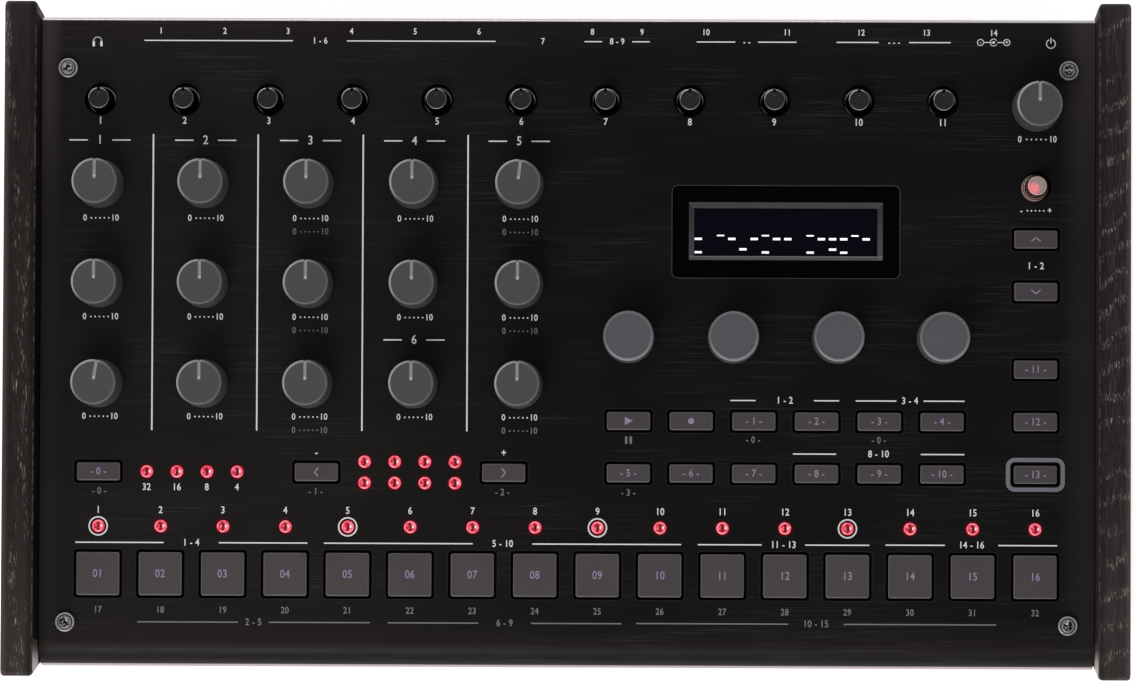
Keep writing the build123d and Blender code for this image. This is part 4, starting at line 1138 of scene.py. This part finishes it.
for bank, places in padBanks.items():
    marks = Print(legends["thick"], legends["low"])
    for place in places:
        marks.text(f"{padPlaces.index(place) + 1:02d}", *place, legends["padHeight"])
    addLegends(bank, marks)
for bank, numbers in legends["numbers"].items():
    marks, places, stroke = Print(legends["thick"], legends["low"]), keyBanks[bank], legends["stroke"]
    for place, number in zip(places, numbers):
        if number is not None:
            marks.text(f"- {number} -", *place, legends["height"])
    if bank == "transport_keys":
        marks.at(*places[0]).outline(legends["play"], marks.low, marks.high)
        marks.spot(*places[1], 1.0)
    if bank == "page_keys":
        for place, way in zip(places, (1, -1)):
            marks.path(*place, [(-1.4, -0.5 * way), (0.0, 0.6 * way), (1.4, -0.5 * way)], stroke)
    if bank == "time_and_length_keys":
        for place, way in zip(places[1:], (-1, 1)):
            marks.path(*place, [(-0.55 * way, 1.35), (0.6 * way, 0.0), (-0.55 * way, -1.35)], stroke)
    addLegends(bank, marks)
print("print and legends made")

# floor, light and camera
studio = {"floorSize": 6.0, "floorGlow": 0.66, "horizon": 1.0, "zenith": 0.1, "ambient": 0.5}


def floorFinish(tree):
    cloud = tree.grain(2.0, 2.0)
    return {"Base Color": tree.mix(cloud, "e8e8e8", "ececec"), "Roughness": 0.8 + cloud * 0.1,
            "Emission Color": tree.mix(cloud, "fcfcfc", "ffffff")}


finishes["floor"] = finishOf("studio floor", floorFinish, 0.1, Emission_Strength=studio["floorGlow"])
floorShape = Shape().plate(studio["floorSize"] / mm, studio["floorSize"] / mm, -4.0, 0.0)
floor = linked("studio_floor", floorShape.mesh("studio_floor", ["floor"]))

world = bpy.data.worlds.new("studio")
scene.world = world
world.use_nodes = True
sky = Tree(world.node_tree)
height = sky.add("SeparateXYZ", {}, {0: sky.add("TexCoord", out="Generated")}, 2)


def glow(level):
    return sky.add("Background", {}, {"Color": "ffffff", "Strength": level})


seen, through, mirrored = (sky.add("LightPath", out=f"Is {kind} Ray")
                           for kind in ("Camera", "Transmission", "Glossy"))
dome = sky.add("MixShader", {}, {0: height.smooth(0.15, 0.9), 1: glow(studio["horizon"]),
                                 2: glow(studio["zenith"])})
lit = sky.add("MixShader", {}, {0: mirrored, 1: glow(studio["ambient"]), 2: dome})
sky.add("OutputWorld", {}, {"Surface": sky.add("MixShader", {}, {0: seen + through, 1: lit, 2: glow(1.0)})})

lamps = {"front": {"at": (-0.35, -1.05, 1.0), "size": (0.9, 0.5), "power": 8.0},
         "rear": {"at": (-0.45, 1.35, 0.42), "size": (1.3, 0.35), "power": 5.5}}
for name, one in lamps.items():
    data = bpy.data.lights.new(name + "_softbox", "AREA")
    data.shape, data.energy = "RECTANGLE", one["power"]
    data.size, data.size_y = one["size"]
    softbox = linked(name + "_softbox", data)
    softbox.location = one["at"]
    softbox.rotation_euler = (Vector((0, 0, 0.03)) - Vector(one["at"])).to_track_quat("-Z", "Y").to_euler()

# the view: nearly square on to the panel, slightly shifted and rolled; places are on the panel in mm
view = {"from": (36.8, -52.88, 1290.0), "towards": (25.8, -32.55, 0.0), "lens": 125.47, "sensor": 36.0,
        "shift": (-0.0693, 0.09), "roll": 0.218, "clip": (0.05, 30.0)}
start, end = (panelMatrix @ (Vector(view[key]) * mm) for key in ("from", "towards"))
back = (start - end).normalized()
across = (right - back * right.dot(back)).normalized()
up = back.cross(across)
roll = math.radians(view["roll"])
across, up = across * math.cos(roll) + up * math.sin(roll), up * math.cos(roll) - across * math.sin(roll)
camera = linked("camera", bpy.data.cameras.new("camera"))
camera.matrix_world = Matrix.Translation(start) @ Matrix((across, up, back)).transposed().to_4x4()
camera.data.lens, camera.data.sensor_width = view["lens"], view["sensor"]
camera.data.shift_x, camera.data.shift_y = view["shift"]
camera.data.clip_start, camera.data.clip_end = view["clip"]
scene.camera = camera
scene.view_settings.view_transform = "Standard"
print("floor, light and camera made")
